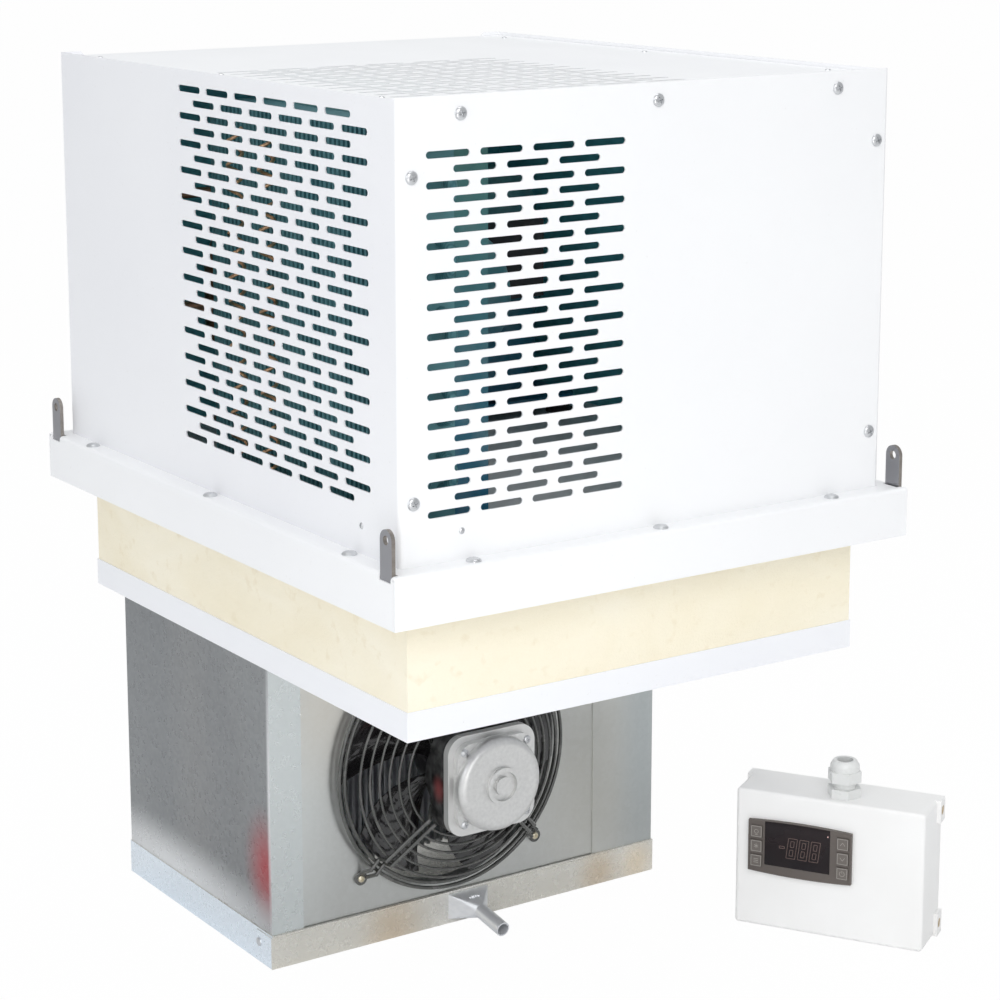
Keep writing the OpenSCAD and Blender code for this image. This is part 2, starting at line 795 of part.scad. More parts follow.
// Drain pan with a rolled front lip and a riveted corner tab on either side
lip_d = 2.4;
tab_l = 27;
tab_r = 4;
spout_right = 17.5;
spout_x = fan_x + spout_right;
spout_z = floor_z + spout_d * 1.36;
spout_drop = asin(0.15);
spout_wall = 1;
flare_w = 38;
flare_h = 20.6;
flare_l = 20;

module drain_pan() {
    x1 = evap_x1 - pan_sheet;
    y1 = evap_y1 - pan_sheet;
    w = evap_w + 2 * pan_sheet;
    l = evap_d + 2 * pan_sheet;
    color("lightgray") placed() difference() {
        union() {
            difference() {
                translate([x1, y1, floor_z]) cube([w, l, pan_h]);
                translate([evap_x1, evap_y1, floor_z + pan_sheet]) cube([evap_w, evap_d, pan_h]);
            }
            translate([x1, y1, evap_z - lip_d / 2]) face_right() cylinder(d = lip_d, h = w, $fn = 24);
            for (x = [x1 - pan_sheet, x1 + w])
                upright_y(x, pan_sheet) translate([y1, floor_z + pan_sheet]) {
                    square([tab_l - tab_r, pan_h - lip_d]);
                    translate([0, tab_r]) square([tab_l, pan_h - lip_d - 2 * tab_r]);
                    for (z = [tab_r, pan_h - lip_d - tab_r]) translate([tab_l - tab_r, z]) circle(r = tab_r, $fn = 24);
                }
        }
        translate([evap_x1, evap_y1, floor_z + pan_sheet]) cube([evap_w, evap_d, pan_h]);
        translate([spout_x, evap_y1 + over, spout_z]) rotate([90 + spout_drop, 0, 0])
            cylinder(d = spout_d - 2 * spout_wall, h = spout_d, $fn = 32);
        translate([x1 - pan_sheet - over, evap_y1 + rivet_in, evap_z - rivet_drop]) face_right()
            cylinder(d = rivet_hole_d, h = w + 2 * pan_sheet + 2 * over, $fn = 24);
    }
}

module pan_rivets() {
    reach = 2 * pan_sheet + thin_sheet;
    color("silver") placed() {
        translate([evap_x1 - 2 * pan_sheet, evap_y1 + rivet_in, evap_z - rivet_drop]) face_left()
            domed_screw(rivet_d, rivet_d / 4, rivet_hole_d - fit, reach);
        translate([evap_x2 + 2 * pan_sheet, evap_y1 + rivet_in, evap_z - rivet_drop]) face_right()
            domed_screw(rivet_d, rivet_d / 4, rivet_hole_d - fit, reach);
    }
}

module drain_spout() {
    color("silver") placed() translate([spout_x, evap_y1 - pan_sheet, spout_z]) difference() {
        union() {
            rotate([90 + spout_drop, 0, 0]) cylinder(d = spout_d, h = spout_l, $fn = round_fn);
            hull() {
                translate([-flare_w / 2, -thin_sheet, -spout_d]) cube([flare_w, thin_sheet, flare_h]);
                rotate([90 + spout_drop, 0, 0]) translate([0, 0, flare_l - over]) cylinder(d = spout_d, h = over, $fn = 32);
            }
        }
        translate([0, over, 0]) rotate([90 + spout_drop, 0, 0]) translate([0, 0, -over])
            cylinder(d = spout_d - 2 * spout_wall, h = spout_l + 4 * over, $fn = round_fn);
        translate([-flare_w, 0, -flare_w]) cube([2 * flare_w, flare_w, 2 * flare_w]);
    }
}

// Wire basket in front of the fan: heavy and light rings, four double arms with eyelets and a motor plate
touch = 0.05;
outer_r = guard_d / 2 - wire_d / 2;
inner_r = outer_r - 1.5 * wire_d;
ring_lift = 7;
basket_r = guard_d / 2 - basket_in;
basket_z = 18;
arm_slope = 0.3;
arm_gap = 3.4;
arm_rise = (wire_d + thin_wire_d) / 2 / cos(atan(arm_slope)) + touch;
plate_t = 2;
motor_z = motor_face + thin_sheet - cover_l - stator_l - motor_back_l;
function basket_lift(r) = basket_z + (basket_r - r) * arm_slope;

module guard_ring(r, z, d) {
    translate([0, 0, z]) rotate_extrude($fn = 96) translate([r, 0]) circle(d = d, $fn = wire_fn);
}

module guard_rings() {
    color("#202225") placed() at_fan() {
        guard_ring(outer_r, ring_lift, wire_d);
        guard_ring(inner_r, ring_lift, wire_d);
        for (k = [0:basket_count - 1])
            guard_ring(basket_r - k * ring_step, basket_lift(basket_r - k * ring_step), thin_wire_d);
    }
}

module guard_arm() {
    far_r = basket_r - basket_count * ring_step + ring_step / 2;
    near_r = basket_r + wire_d;
    ring_top = ring_lift + wire_d + touch;
    for (s = [-1, 1])
        translate([0, s * arm_gap, 0]) wire([
            [foot_r - foot_d / 3, 0, plate_t / 2 + wire_d / 4],
            [outer_r + wire_d, 0, ring_top],
            [inner_r - wire_d, 0, ring_top],
            [near_r, 0, basket_lift(near_r) + arm_rise],
            [far_r, 0, basket_lift(far_r) + arm_rise],
            [plate_w * 0.64, 0, motor_z - plate_t / 2]
        ], wire_d);
}

module guard_arms() {
    color("#202225") placed() at_fan() difference() {
        union() {
            for (k = [0:3]) rotate([0, 0, 45 + 90 * k]) {
                guard_arm();
                translate([foot_r, 0, 0]) cylinder(d = foot_d, h = plate_t, $fn = 32);
            }
            translate([0, 0, motor_z - plate_t]) linear_extrude(plate_t)
                translate([-plate_w / 2, -plate_w / 2]) round_rect(plate_w, plate_w, motor_corner / 2);
        }
        translate([0, 0, motor_z - 2 * plate_t]) cylinder(d = plate_w * 0.4, h = 3 * plate_t, $fn = round_fn);
        for (k = [0:3]) rotate([0, 0, 45 + 90 * k])
            translate([foot_r, 0, -over]) cylinder(d = foot_hole_d, h = plate_t + 2 * over, $fn = 24);
    }
}

module guard_screws() {
    color("silver") placed() at_fan() for (k = [0:3]) rotate([0, 0, 45 + 90 * k])
        translate([foot_r, 0, plate_t]) domed_screw(foot_d * 0.55, foot_d / 5, foot_hole_d - fit, screw_shank_l);
}

// Square fan motor, its domed cover and the cover's screws
module fan_motor() {
    bore = shaft_d + 2 * shaft_gap;
    color("silver") placed() at_fan() translate([0, 0, motor_z]) difference() {
        union() {
            cylinder(d = cover_d, h = motor_back_l, $fn = 64);
            translate([-stator_w / 2, -stator_w / 2, motor_back_l]) linear_extrude(stator_l)
                round_rect(stator_w, stator_w, stator_corner);
        }
        translate([0, 0, -over]) cylinder(d = bore, h = motor_back_l + stator_l / 2 + over, $fn = 32);
    }
}

module fan_motor_cover() {
    plate = cover_l / 3;
    dome = cover_l - plate;
    edge = dome / 2;
    boss = shaft_d * 5;
    color("silver") placed() at_fan() translate([0, 0, motor_z + motor_back_l + stator_l]) {
        difference() {
            union() {
                translate([-motor_w / 2, -motor_w / 2, 0]) linear_extrude(plate) round_rect(motor_w, motor_w, motor_corner);
                translate([0, 0, plate / 2]) rotate_extrude($fn = 64) {
                    square([cover_d / 2 - edge, dome]);
                    square([cover_d / 2, dome - edge]);
                    translate([cover_d / 2 - edge, dome - edge]) circle(r = edge, $fn = 32);
                }
                translate([0, 0, dome]) cylinder(d = boss, h = plate, $fn = round_fn);
            }
            translate([0, 0, dome + plate / 2]) difference() {
                cylinder(d = boss * 0.8, h = plate, $fn = round_fn);
                cylinder(d = boss * 0.5, h = plate, $fn = round_fn);
            }
        }
    }
}

module motor_screws() {
    color("silver") placed() at_fan() translate([0, 0, motor_z + motor_back_l + stator_l + cover_l / 3])
        for (x = [-1, 1]) for (y = [-1, 1])
            translate([x * mount_pitch / 2, y * mount_pitch / 2, 0])
                domed_screw(small_head_d * 1.2, small_head_h * 1.5, small_head_d / 2, 0);
}

module evap_fan() {
    low = -rotor_back;
    color("#17181a") placed() at_fan() union() {
        translate([0, 0, low]) rotor(fan_d, hub_d, hub_h, fan_blade_l);
        translate([0, 0, low + over]) cylinder(d = shaft_d, h = motor_z + motor_back_l + stator_l / 2 - low - 2 * over, $fn = 32);
    }
}

// Compressor on its base plate, rubber mounts and terminal cover
comp_y = suction_y;
comp_z = grommet_h + base_t;

module compressor() {
    seam_z = comp_z + shell_h * 0.42;
    foot_r2 = grommet_d / 2;
    color("#202020") placed() translate([comp_x, comp_y, 0]) union() {
        translate([0, 0, comp_z]) rotate_extrude($fn = 64) {
            square([shell_d / 2 - comp_round, shell_h]);
            translate([0, comp_round]) square([shell_d / 2, shell_h - 2 * comp_round]);
            for (z = [comp_round, shell_h - comp_round])
                translate([shell_d / 2 - comp_round, z]) intersection() {
                    translate([0, -comp_round]) square([comp_round, 2 * comp_round]);
                    circle(r = comp_round, $fn = 64);
                }
        }
        translate([0, 0, seam_z]) cylinder(d = shell_d + 2 * seam_rise, h = seam_h, $fn = 64);
        translate([-base_w / 2, -base_l / 2, grommet_h]) linear_extrude(base_t) round_rect(base_w, base_l, foot_r2);
    }
}

module compressor_mounts() {
    color("#101010") placed() translate([comp_x, comp_y, 0])
        for (x = [-1, 1]) for (y = [-1, 1])
            translate([x * (base_w - grommet_d) / 2, y * (base_l - grommet_d) / 2, 0]) rotate_extrude($fn = 32) difference() {
                square([grommet_d / 2 - fit, grommet_h]);
                translate([grommet_d / 2, grommet_h / 2]) circle(d = grommet_h / 2, $fn = 24);
            }
}

cover_w = 56;
cover_h2 = 64;
cover_l2 = 30;

module compressor_cover() {
    color("#181818") placed() translate([comp_x, comp_y, comp_z + shell_h * 0.5]) difference() {
        translate([-cover_w / 2, -shell_d / 2 - cover_l2, 0]) cube([cover_w, cover_l2 + comp_round / 2, cover_h2]);
        translate([0, 0, -over]) cylinder(d = shell_d + fit, h = cover_h2 + 2 * over, $fn = 64);
    }
}

// Condenser coil behind the slots of the left panel
cond_cols = 2;
cond_rows = 10;
cond_plate_x2 = cond_coil_x + coil_t;
cond_y2 = cond_coil_y + cond_coil_l;
function cond_col_x(c) = cond_coil_x + (c + 0.5) * coil_t / cond_cols;
function cond_row_z(k) = cond_coil_foot + cond_coil_h / 2 + (k - (cond_rows - 1) / 2) * tube_pitch;

module condenser_fins() {
    color("#3c4a50") placed() translate([cond_coil_x + coil_t, cond_coil_y, cond_coil_foot]) rotate([0, 0, 90])
        linear_extrude(cond_coil_h) fin_comb(cond_coil_l, coil_t);
}

module condenser_tubes() {
    color("peru") placed() for (side = [0, 1]) {
        translate([cond_coil_x, side == 0 ? cond_coil_y - thin_sheet : cond_y2, 0])
            cube([coil_t, thin_sheet, cond_coil_foot + cond_coil_h]);
        for (c = [0:cond_cols - 1]) for (k = [side:2:cond_rows - 2])
            translate([cond_col_x(c), side == 0 ? cond_coil_y - thin_sheet : cond_y2 + thin_sheet, cond_row_z(k) + tube_pitch / 2])
                rotate([side == 0 ? 90 : -90, 0, 0]) rotate([0, 0, 90]) return_bend(tube_pitch, tube_d);
    }
}

shroud_x = cond_plate_x2 + shroud_depth;
cond_orifice_d = cond_fan_d + 2 * cond_orifice_gap;

module at_cond_fan() {
    translate([shroud_x, cond_fan_y, cond_fan_z]) face_right() children();
}

module fan_shroud() {
    y1 = cond_coil_y - thin_sheet;
    l = cond_coil_l + 2 * thin_sheet;
    h = cond_coil_foot + cond_coil_h;
    color("#2a2d30") placed() difference() {
        translate([cond_plate_x2, y1, 0]) cube([shroud_depth, l, h]);
        translate([cond_plate_x2 - over, y1 + thin_sheet, thin_sheet])
            cube([shroud_depth + over - thin_sheet, l - 2 * thin_sheet, h - 2 * thin_sheet]);
        at_cond_fan() translate([0, 0, -thin_sheet - over]) cylinder(d = cond_orifice_d, h = thin_sheet + 2 * over, $fn = 96);
    }
}

// Condenser fan motor on a bent strap across the opening
strap_reach = 24;
strap_clear = 6;
strap_half = cond_orifice_d / 2 + strap_clear;
strap_foot = 14;
strap_hole = 24;

module motor_bracket() {
    color("silver") placed() difference() {
        translate([shroud_x, cond_fan_y + bracket_w / 2, cond_fan_z]) rotate([90, 0, 0]) linear_extrude(bracket_w) polygon([
            [0, -strap_half - strap_foot], [bracket_t, -strap_half - strap_foot], [bracket_t, -strap_half],
            [strap_reach, -strap_half], [strap_reach, strap_half], [bracket_t, strap_half],
            [bracket_t, strap_half + strap_foot], [0, strap_half + strap_foot], [0, strap_half - bracket_t],
            [strap_reach - bracket_t, strap_half - bracket_t], [strap_reach - bracket_t, -strap_half + bracket_t],
            [0, -strap_half + bracket_t]
        ]);
        at_cond_fan() cylinder(d = strap_hole / 2, h = strap_reach + over, $fn = 32);
    }
}

module condenser_motor() {
    edge = cond_motor_d / 12;
    color("#303336") placed() at_cond_fan() translate([0, 0, strap_reach]) difference() {
        rotate_extrude($fn = 64) {
            square([cond_motor_d / 2 - edge, cond_motor_l]);
            square([cond_motor_d / 2, cond_motor_l - edge]);
            translate([cond_motor_d / 2 - edge, cond_motor_l - edge]) circle(r = edge, $fn = 32);
        }
        translate([0, 0, -over]) cylinder(d = shaft_d + 2 * shaft_gap, h = cond_motor_l / 2 + over, $fn = 32);
    }
}

module condenser_fan() {
    low = -hub_h / 2 - strap_reach / 6;
    color("#17181a") placed() at_cond_fan() union() {
        translate([0, 0, low]) rotor(cond_fan_d, hub_d, hub_h, cond_blade_l);
        translate([0, 0, low + over]) cylinder(d = shaft_d, h = strap_reach + cond_motor_l / 2 - low - 2 * over, $fn = 32);
    }
}

// Refrigerant pipes between compressor, coils and drier
drier_x = 100;
drier_d = 28;
drier_l = 100;
drier_rise = 30.5;
drier_z = cond_row_z(0) + drier_rise;
run_clear = 27;
loop_rise = 35;
liquid_run_y = cond_y2 + run_clear;
loop_z = drier_z + drier_l + loop_rise;

module discharge_pipe() {
    x = comp_x - shell_d / 4;
    z = cond_row_z(cond_rows - 1);
    color("peru") placed() pipe([
        [x, comp_y, comp_z + shell_h], [x, comp_y, z], [x, liquid_run_y, z],
        [cond_col_x(1), liquid_run_y, z], [cond_col_x(1), cond_y2 + thin_sheet, z]
    ], liquid_d, pipe_bend);
}

module liquid_pipe() {
    z = cond_row_z(0);
    color("peru") placed() pipe([
        [cond_col_x(0), cond_y2 + thin_sheet, z], [cond_col_x(0), liquid_run_y, z], [drier_x, liquid_run_y, z],
        [drier_x, expansion_y, z], [drier_x, expansion_y, drier_z]
    ], liquid_d, pipe_bend);
}

module expansion_pipe() {
    z = evap_row_z(evap_rows - 1);
    color("peru") placed() pipe([
        [drier_x, expansion_y, drier_z + drier_l], [drier_x, expansion_y, loop_z], [riser_x, expansion_y, loop_z],
        [riser_x, expansion_y, z], [evap_cx1 - thin_sheet, expansion_y, z]
    ], liquid_d, pipe_bend);
}

module suction_pipe() {
    z = evap_row_z(0);
    high = comp_z + shell_h / 2;
    color("peru") placed() pipe([
        [evap_cx1 - thin_sheet, evap_col_y(1), z], [riser_x, evap_col_y(1), z], [riser_x, suction_y, z],
        [riser_x, suction_y, high], [comp_x - shell_d / 2, suction_y, high]
    ], suction_d, pipe_bend);
}

module filter_drier() {
    cone = drier_d * 0.7;
    color("peru") placed() translate([drier_x, expansion_y, drier_z]) union() {
        cylinder(d1 = liquid_d + 2 * thin_sheet, d2 = drier_d, h = cone, $fn = round_fn);
        translate([0, 0, cone]) cylinder(d = drier_d, h = drier_l - 2 * cone, $fn = round_fn);
        translate([0, 0, drier_l - cone]) cylinder(d1 = drier_d, d2 = liquid_d + 2 * thin_sheet, h = cone, $fn = round_fn);
    }
}

// Electrical box behind the plain half of the front panel
elec_w = 150;
elec_l = 58;
elec_h = 190;
elec_in = 26;
elec_front = 14;

module electrical_box() {
    color("lightgray") placed() translate([casing_w - elec_in - elec_w, elec_front, 0]) union() {
        cube([elec_w, elec_l, elec_h]);
        translate([-sheet, elec_l * 0.7, sheet]) cube([elec_w + 2 * sheet, elec_l * 0.3 + sheet, elec_h]);
    }
}

// Cable gland of the rear panel
module rear_gland() {
    color("#33363a") placed() translate([casing_w - rear_gland_x, casing_d - sheet, rear_gland_z]) face_rear() difference() {
        union() {
            cylinder(d = rear_gland_d * 1.3, h = hex_h + sheet, $fn = 6);
            translate([0, 0, hex_h + sheet]) cylinder(d = rear_gland_d, h = cap_h / 2, $fn = 32);
            translate([0, 0, hex_h + sheet + cap_h / 2])
                cylinder(d1 = rear_gland_d, d2 = rear_gland_d * 0.7, h = cap_h / 4, $fn = 32);
            translate([0, 0, -sheet - fit]) cylinder(d = rear_gland_d - fit, h = sheet + fit, $fn = 32);
        }
        translate([0, 0, -2 * sheet - over]) cylinder(d = mains_d, h = rear_gland_l + 3 * sheet + 2 * over, $fn = 32);
    }
}

// Frame of the control box: X along its front, Y into its depth
module at_box() {
    translate([box_x, box_y, floor_z]) rotate([0, 0, box_turn]) children();
}

shell_l = box_d - base_depth;
gland_x = box_w * gland_share;
gland_y = shell_l * 0.52;
gland_hole_d = gland_af * 0.76;

// A box with rounded front edges, its rear left open to a cut
module soft_front(w, l, h, r) {
    translate([r, r, 0]) cube([w - 2 * r, l - r, h]);
    translate([0, r, r]) cube([w, l - r, h - 2 * r]);
    translate([r, 0, r]) cube([w - 2 * r, l, h - 2 * r]);
    for (x = [r, w - r]) {
        translate([x, r, r]) cylinder(r = r, h = h - 2 * r, $fn = 32);
        for (z = [r, h - r]) {
            translate([x, l, z]) rotate([90, 0, 0]) cylinder(r = r, h = l - r, $fn = 32);
            translate([x, r, z]) sphere(r = r, $fn = 32);
        }
    }
    for (z = [r, h - r]) translate([r, r, z]) rotate([0, 90, 0]) cylinder(r = r, h = w - 2 * r, $fn = 32);
}

body_x = bezel_left + (bezel_w - body_w) / 2;
body_z = box_h - bezel_top - (bezel_h + body_h) / 2;

module box_shell() {
    color("white") placed() at_box() difference() {
        soft_front(box_w, shell_l, box_h, box_round);
        translate([box_wall, box_wall, box_wall]) cube([box_w - 2 * box_wall, shell_l, box_h - 2 * box_wall]);
        translate([body_x - fit, -over, body_z - fit]) cube([body_w + 2 * fit, box_wall + 2 * over, body_h + 2 * fit]);
        translate([gland_x, gland_y, box_h - box_wall - over])
            cylinder(d = gland_hole_d + 2 * fit, h = box_wall + 2 * over, $fn = round_fn);
    }
}

module pad_places() {
    for (z = [0, box_h - pad_h]) for (side = [0, 1])
        translate([side * box_w, 0, z]) mirror([side, 0, 0]) children();
}

module box_base() {
    color("white") placed() at_box() difference() {
        union() {
            translate([0, shell_l, 0]) cube([box_w, base_depth, box_h]);
            pad_places() translate([-pad_out, box_d - pad_d, 0]) cube([pad_out + over, pad_d, pad_h]);
        }
        translate([box_wall, shell_l - over, box_wall])
            cube([box_w - 2 * box_wall, base_depth + over - box_wall, box_h - 2 * box_wall]);
        pad_places() translate([-pad_out - over, box_d - pad_d / 2, pad_h / 2]) face_right()
            cylinder(d = pad_d * 0.62, h = pad_out, $fn = 32);
    }
}

module box_screws() {
    color("goldenrod") placed() at_box() pad_places()
        translate([-over, box_d - pad_d / 2, pad_h / 2]) face_left()
            cylinder(d = pad_d * 0.62 - fit, h = pad_out / 2, $fn = 32);
}

module controller_body() {
    color("#26282a") placed() at_box() translate([body_x, 0, body_z]) cube([body_w, body_l, body_h]);
}

// Bezel with arched upper and lower edges, a sunk window and six button pockets
window_x1_share = 0.165;
window_x2_share = 0.794;
window_low_share = 0.2;
window_sink = 1.2;
window_h = bezel_h * (1 - window_low_share) - 2 * bezel_bulge;
button_w = 9.6;
button_h = 10;
button_side = 2.2;
button_step = 12.4;
button_out = 0.9;
button_play = 0.5;
button_in = 1.5;
pocket = button_in + button_travel + button_play;

module bezel_outline() {
    big_r = (bezel_w * bezel_w / 4 + bezel_bulge * bezel_bulge) / (2 * bezel_bulge);
    intersection() {
        square([bezel_w, bezel_h]);
        translate([bezel_w / 2, bezel_h - big_r]) circle(r = big_r, $fn = 512);
        translate([bezel_w / 2, big_r]) circle(r = big_r, $fn = 512);
    }
}

function button_place(col, row) = [
    col == 0 ? button_side : bezel_w - button_side - button_w,
    bezel_h / 2 - button_h / 2 + (row - 1) * button_step
];

module at_bezel() {
    at_box() translate([bezel_left, 0, box_h - bezel_top - bezel_h]) children();
}

module controller_bezel() {
    color("#5b5650") placed() at_bezel() difference() {
        upright_x(-bezel_out, bezel_out) bezel_outline();
        translate([window_x1_share * bezel_w, -bezel_out - over, window_low_share * bezel_h])
            cube([(window_x2_share - window_x1_share) * bezel_w, window_sink + over, window_h]);
        for (col = [0, 1]) for (row = [0:2])
            translate([button_place(col, row)[0] - fit, -bezel_out - over, button_place(col, row)[1] - fit])
                cube([button_w + 2 * fit, pocket + over, button_h + 2 * fit]);
    }
}

module display_window() {
    color("#14100e") placed() at_bezel()
        translate([window_x1_share * bezel_w, -bezel_out + fit, window_low_share * bezel_h])
            cube([(window_x2_share - window_x1_share) * bezel_w, window_sink - fit, window_h]);
}

module push_button(col, row) {
    color("#6a6660") placed() at_bezel()
        translate([button_place(col, row)[0], -bezel_out - button_out, button_place(col, row)[1]])
            cube([button_w, button_out + button_in, button_h]);
}

module button_up() {
    push_button(1, 2);
}

module button_down() {
    push_button(1, 1);
}

module button_power() {
    push_button(1, 0);
}

module button_set() {
    push_button(0, 0);
}

module button_defrost() {
    push_button(0, 1);
}

module button_light() {
    push_button(0, 2);
}

// Cable gland on top of the control box: body with a hexagon, domed nut and rubber seal
cable_d = 8;
nut_hex_h = 9;
seal_h = 4;
gland_tail = 2;
gland_bore_d = cable_d + 2 * box_wall;

module at_gland() {
    at_box() translate([gland_x, gland_y, box_h]) children();
}

module gland_body() {
    color("gainsboro") placed() at_gland() difference() {
        union() {
            translate([0, 0, -box_wall - gland_tail]) cylinder(d = gland_hole_d, h = box_wall + gland_tail, $fn = round_fn);
            cylinder(d = gland_af / cos(30), h = hex_h, $fn = 6);
            translate([0, 0, hex_h]) cylinder(d = gland_hole_d, h = neck_h + nut_hex_h, $fn = round_fn);
        }
        translate([0, 0, -box_wall - gland_tail - over])
            cylinder(d = gland_bore_d, h = box_wall + gland_tail + hex_h + neck_h + nut_hex_h + 2 * over, $fn = round_fn);
    }
}

module gland_nut() {
    dome_h = cap_h - nut_hex_h / 2;
    dome_d = gland_af * 0.98;
    color("gainsboro") placed() at_gland() translate([0, 0, hex_h + neck_h]) difference() {
        union() {
            cylinder(d = gland_af / cos(30), h = nut_hex_h, $fn = 6);
            translate([0, 0, nut_hex_h]) intersection() {
                cylinder(d = dome_d, h = dome_h, $fn = round_fn);
                sphere(d = dome_d * 1.06, $fn = 64);
            }
        }
        translate([0, 0, -over]) cylinder(d = gland_hole_d + fit, h = nut_hex_h + over + fit, $fn = round_fn);
        translate([0, 0, -over]) cylinder(d = gland_bore_d, h = cap_h + nut_hex_h + 2 * over, $fn = round_fn);
    }
}

module gland_seal() {
    color("#55585b") placed() at_gland() translate([0, 0, hex_h + neck_h + nut_hex_h - seal_h / 2]) difference() {
        cylinder(d = gland_bore_d - fit, h = seal_h, $fn = round_fn);
        translate([0, 0, -over]) cylinder(d = cable_d, h = seal_h + 2 * over, $fn = round_fn);
    }
}

roof_flange();
plug_foam();
plug_tray();
front_panel();
left_panel();
right_panel();
rear_panel();
top_panel();
panel_screws();
flange_bolts();
lifting_lugs();
evap_side_left();
evap_side_right();
fan_panel();
evap_fins();
evap_tubes();
drain_pan();
pan_rivets();
drain_spout();
guard_rings();
guard_arms();
guard_screws();
fan_motor();
fan_motor_cover();
motor_screws();
evap_fan();
compressor();
compressor_mounts();
compressor_cover();
condenser_fins();
condenser_tubes();
fan_shroud();
condenser_motor();
motor_bracket();
condenser_fan();
discharge_pipe();
liquid_pipe();
expansion_pipe();
suction_pipe();
filter_drier();
electrical_box();
rear_gland();
box_shell();
box_base();
box_screws();
controller_body();
controller_bezel();
display_window();
button_up();
button_down();
button_power();
button_set();
button_defrost();
button_light();
gland_body();
gland_nut();
gland_seal();
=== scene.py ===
import math

import bpy
from mathutils import Matrix, Vector


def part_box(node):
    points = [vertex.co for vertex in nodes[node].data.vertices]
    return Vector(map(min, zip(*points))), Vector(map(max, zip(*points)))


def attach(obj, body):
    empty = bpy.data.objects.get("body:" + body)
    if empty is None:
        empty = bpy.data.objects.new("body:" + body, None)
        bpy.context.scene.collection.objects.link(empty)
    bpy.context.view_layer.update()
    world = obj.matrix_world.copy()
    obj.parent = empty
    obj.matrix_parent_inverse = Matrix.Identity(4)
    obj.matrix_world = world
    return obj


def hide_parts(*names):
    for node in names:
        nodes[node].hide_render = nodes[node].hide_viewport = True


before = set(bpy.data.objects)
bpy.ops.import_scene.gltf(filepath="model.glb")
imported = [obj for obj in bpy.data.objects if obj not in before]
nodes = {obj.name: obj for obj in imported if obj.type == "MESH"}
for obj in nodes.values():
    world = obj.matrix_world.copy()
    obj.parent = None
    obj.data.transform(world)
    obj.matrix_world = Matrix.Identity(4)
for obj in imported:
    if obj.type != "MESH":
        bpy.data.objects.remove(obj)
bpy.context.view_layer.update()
MM = 0.001

# Places on the unit are given as on the drawing: millimetres to the right, to the rear and up from the
# casing's front left corner, where the casing stands on the roof flange.
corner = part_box("front_panel")[0]


def spot(x, y, z):
    return corner + Vector((x, y, z)) * MM


# The camera stands to the left before the unit, higher than the casing's top, and looks slightly down; a
# small shift sets the unit where the photograph has it.
CAMERA_AT = (-904.4, -1451.9, 474.1)
CAMERA_TURN = math.radians(-33.42)
CAMERA_UP = math.radians(11.05)
CAMERA_ROLL = math.radians(-0.15)
CAMERA_SHIFT = (0.034, -0.134)
FOCAL_SHARE = 2.6215
SENSOR = 36.0
NEAR, FAR = 0.05, 60

camera_data = bpy.data.cameras.new("camera")
camera_data.sensor_width = SENSOR
camera_data.lens = FOCAL_SHARE * SENSOR
camera_data.shift_x, camera_data.shift_y = CAMERA_SHIFT
camera_data.clip_start, camera_data.clip_end = NEAR, FAR
camera = bpy.data.objects.new("camera", camera_data)
bpy.context.scene.collection.objects.link(camera)

back = Vector((math.sin(CAMERA_TURN) * math.cos(CAMERA_UP),
               -math.cos(CAMERA_TURN) * math.cos(CAMERA_UP), math.sin(CAMERA_UP)))
level = Vector((math.cos(CAMERA_TURN), math.sin(CAMERA_TURN), 0))
upward = back.cross(level)
right = level * math.cos(CAMERA_ROLL) + upward * math.sin(CAMERA_ROLL)
upward = upward * math.cos(CAMERA_ROLL) - level * math.sin(CAMERA_ROLL)
axes = Matrix((right, upward, back)).transposed().to_4x4()
camera.matrix_world = Matrix.Translation(spot(*CAMERA_AT)) @ axes
bpy.context.scene.camera = camera
bpy.context.scene.view_settings.view_transform = "Standard"


# The casing's panels and the roof flange are folded steel with a thin cured powder coat: almost smooth,
# with a faint orange peel, a slight unevenness of tone and a little dust. The inner faces of the right and
# rear panels are coloured blue-green, which the slots show.
class Link:
    """An output socket; sums and products of links and numbers add Math nodes."""

    def __init__(self, tree, socket):
        self.tree = tree
        self.socket = socket

    def worked_out(self, operation, other):
        made = self.tree.nodes.new("ShaderNodeMath")
        made.operation = operation
        for place, value in enumerate((self, other)):
            if isinstance(value, Link):
                self.tree.links.new(value.socket, made.inputs[place])
            else:
                made.inputs[place].default_value = value
        return Link(self.tree, made.outputs[0])

    def __add__(self, other):
        return self.worked_out("ADD", other)

    __radd__ = __add__

    def __mul__(self, other):
        return self.worked_out("MULTIPLY", other)

    __rmul__ = __mul__


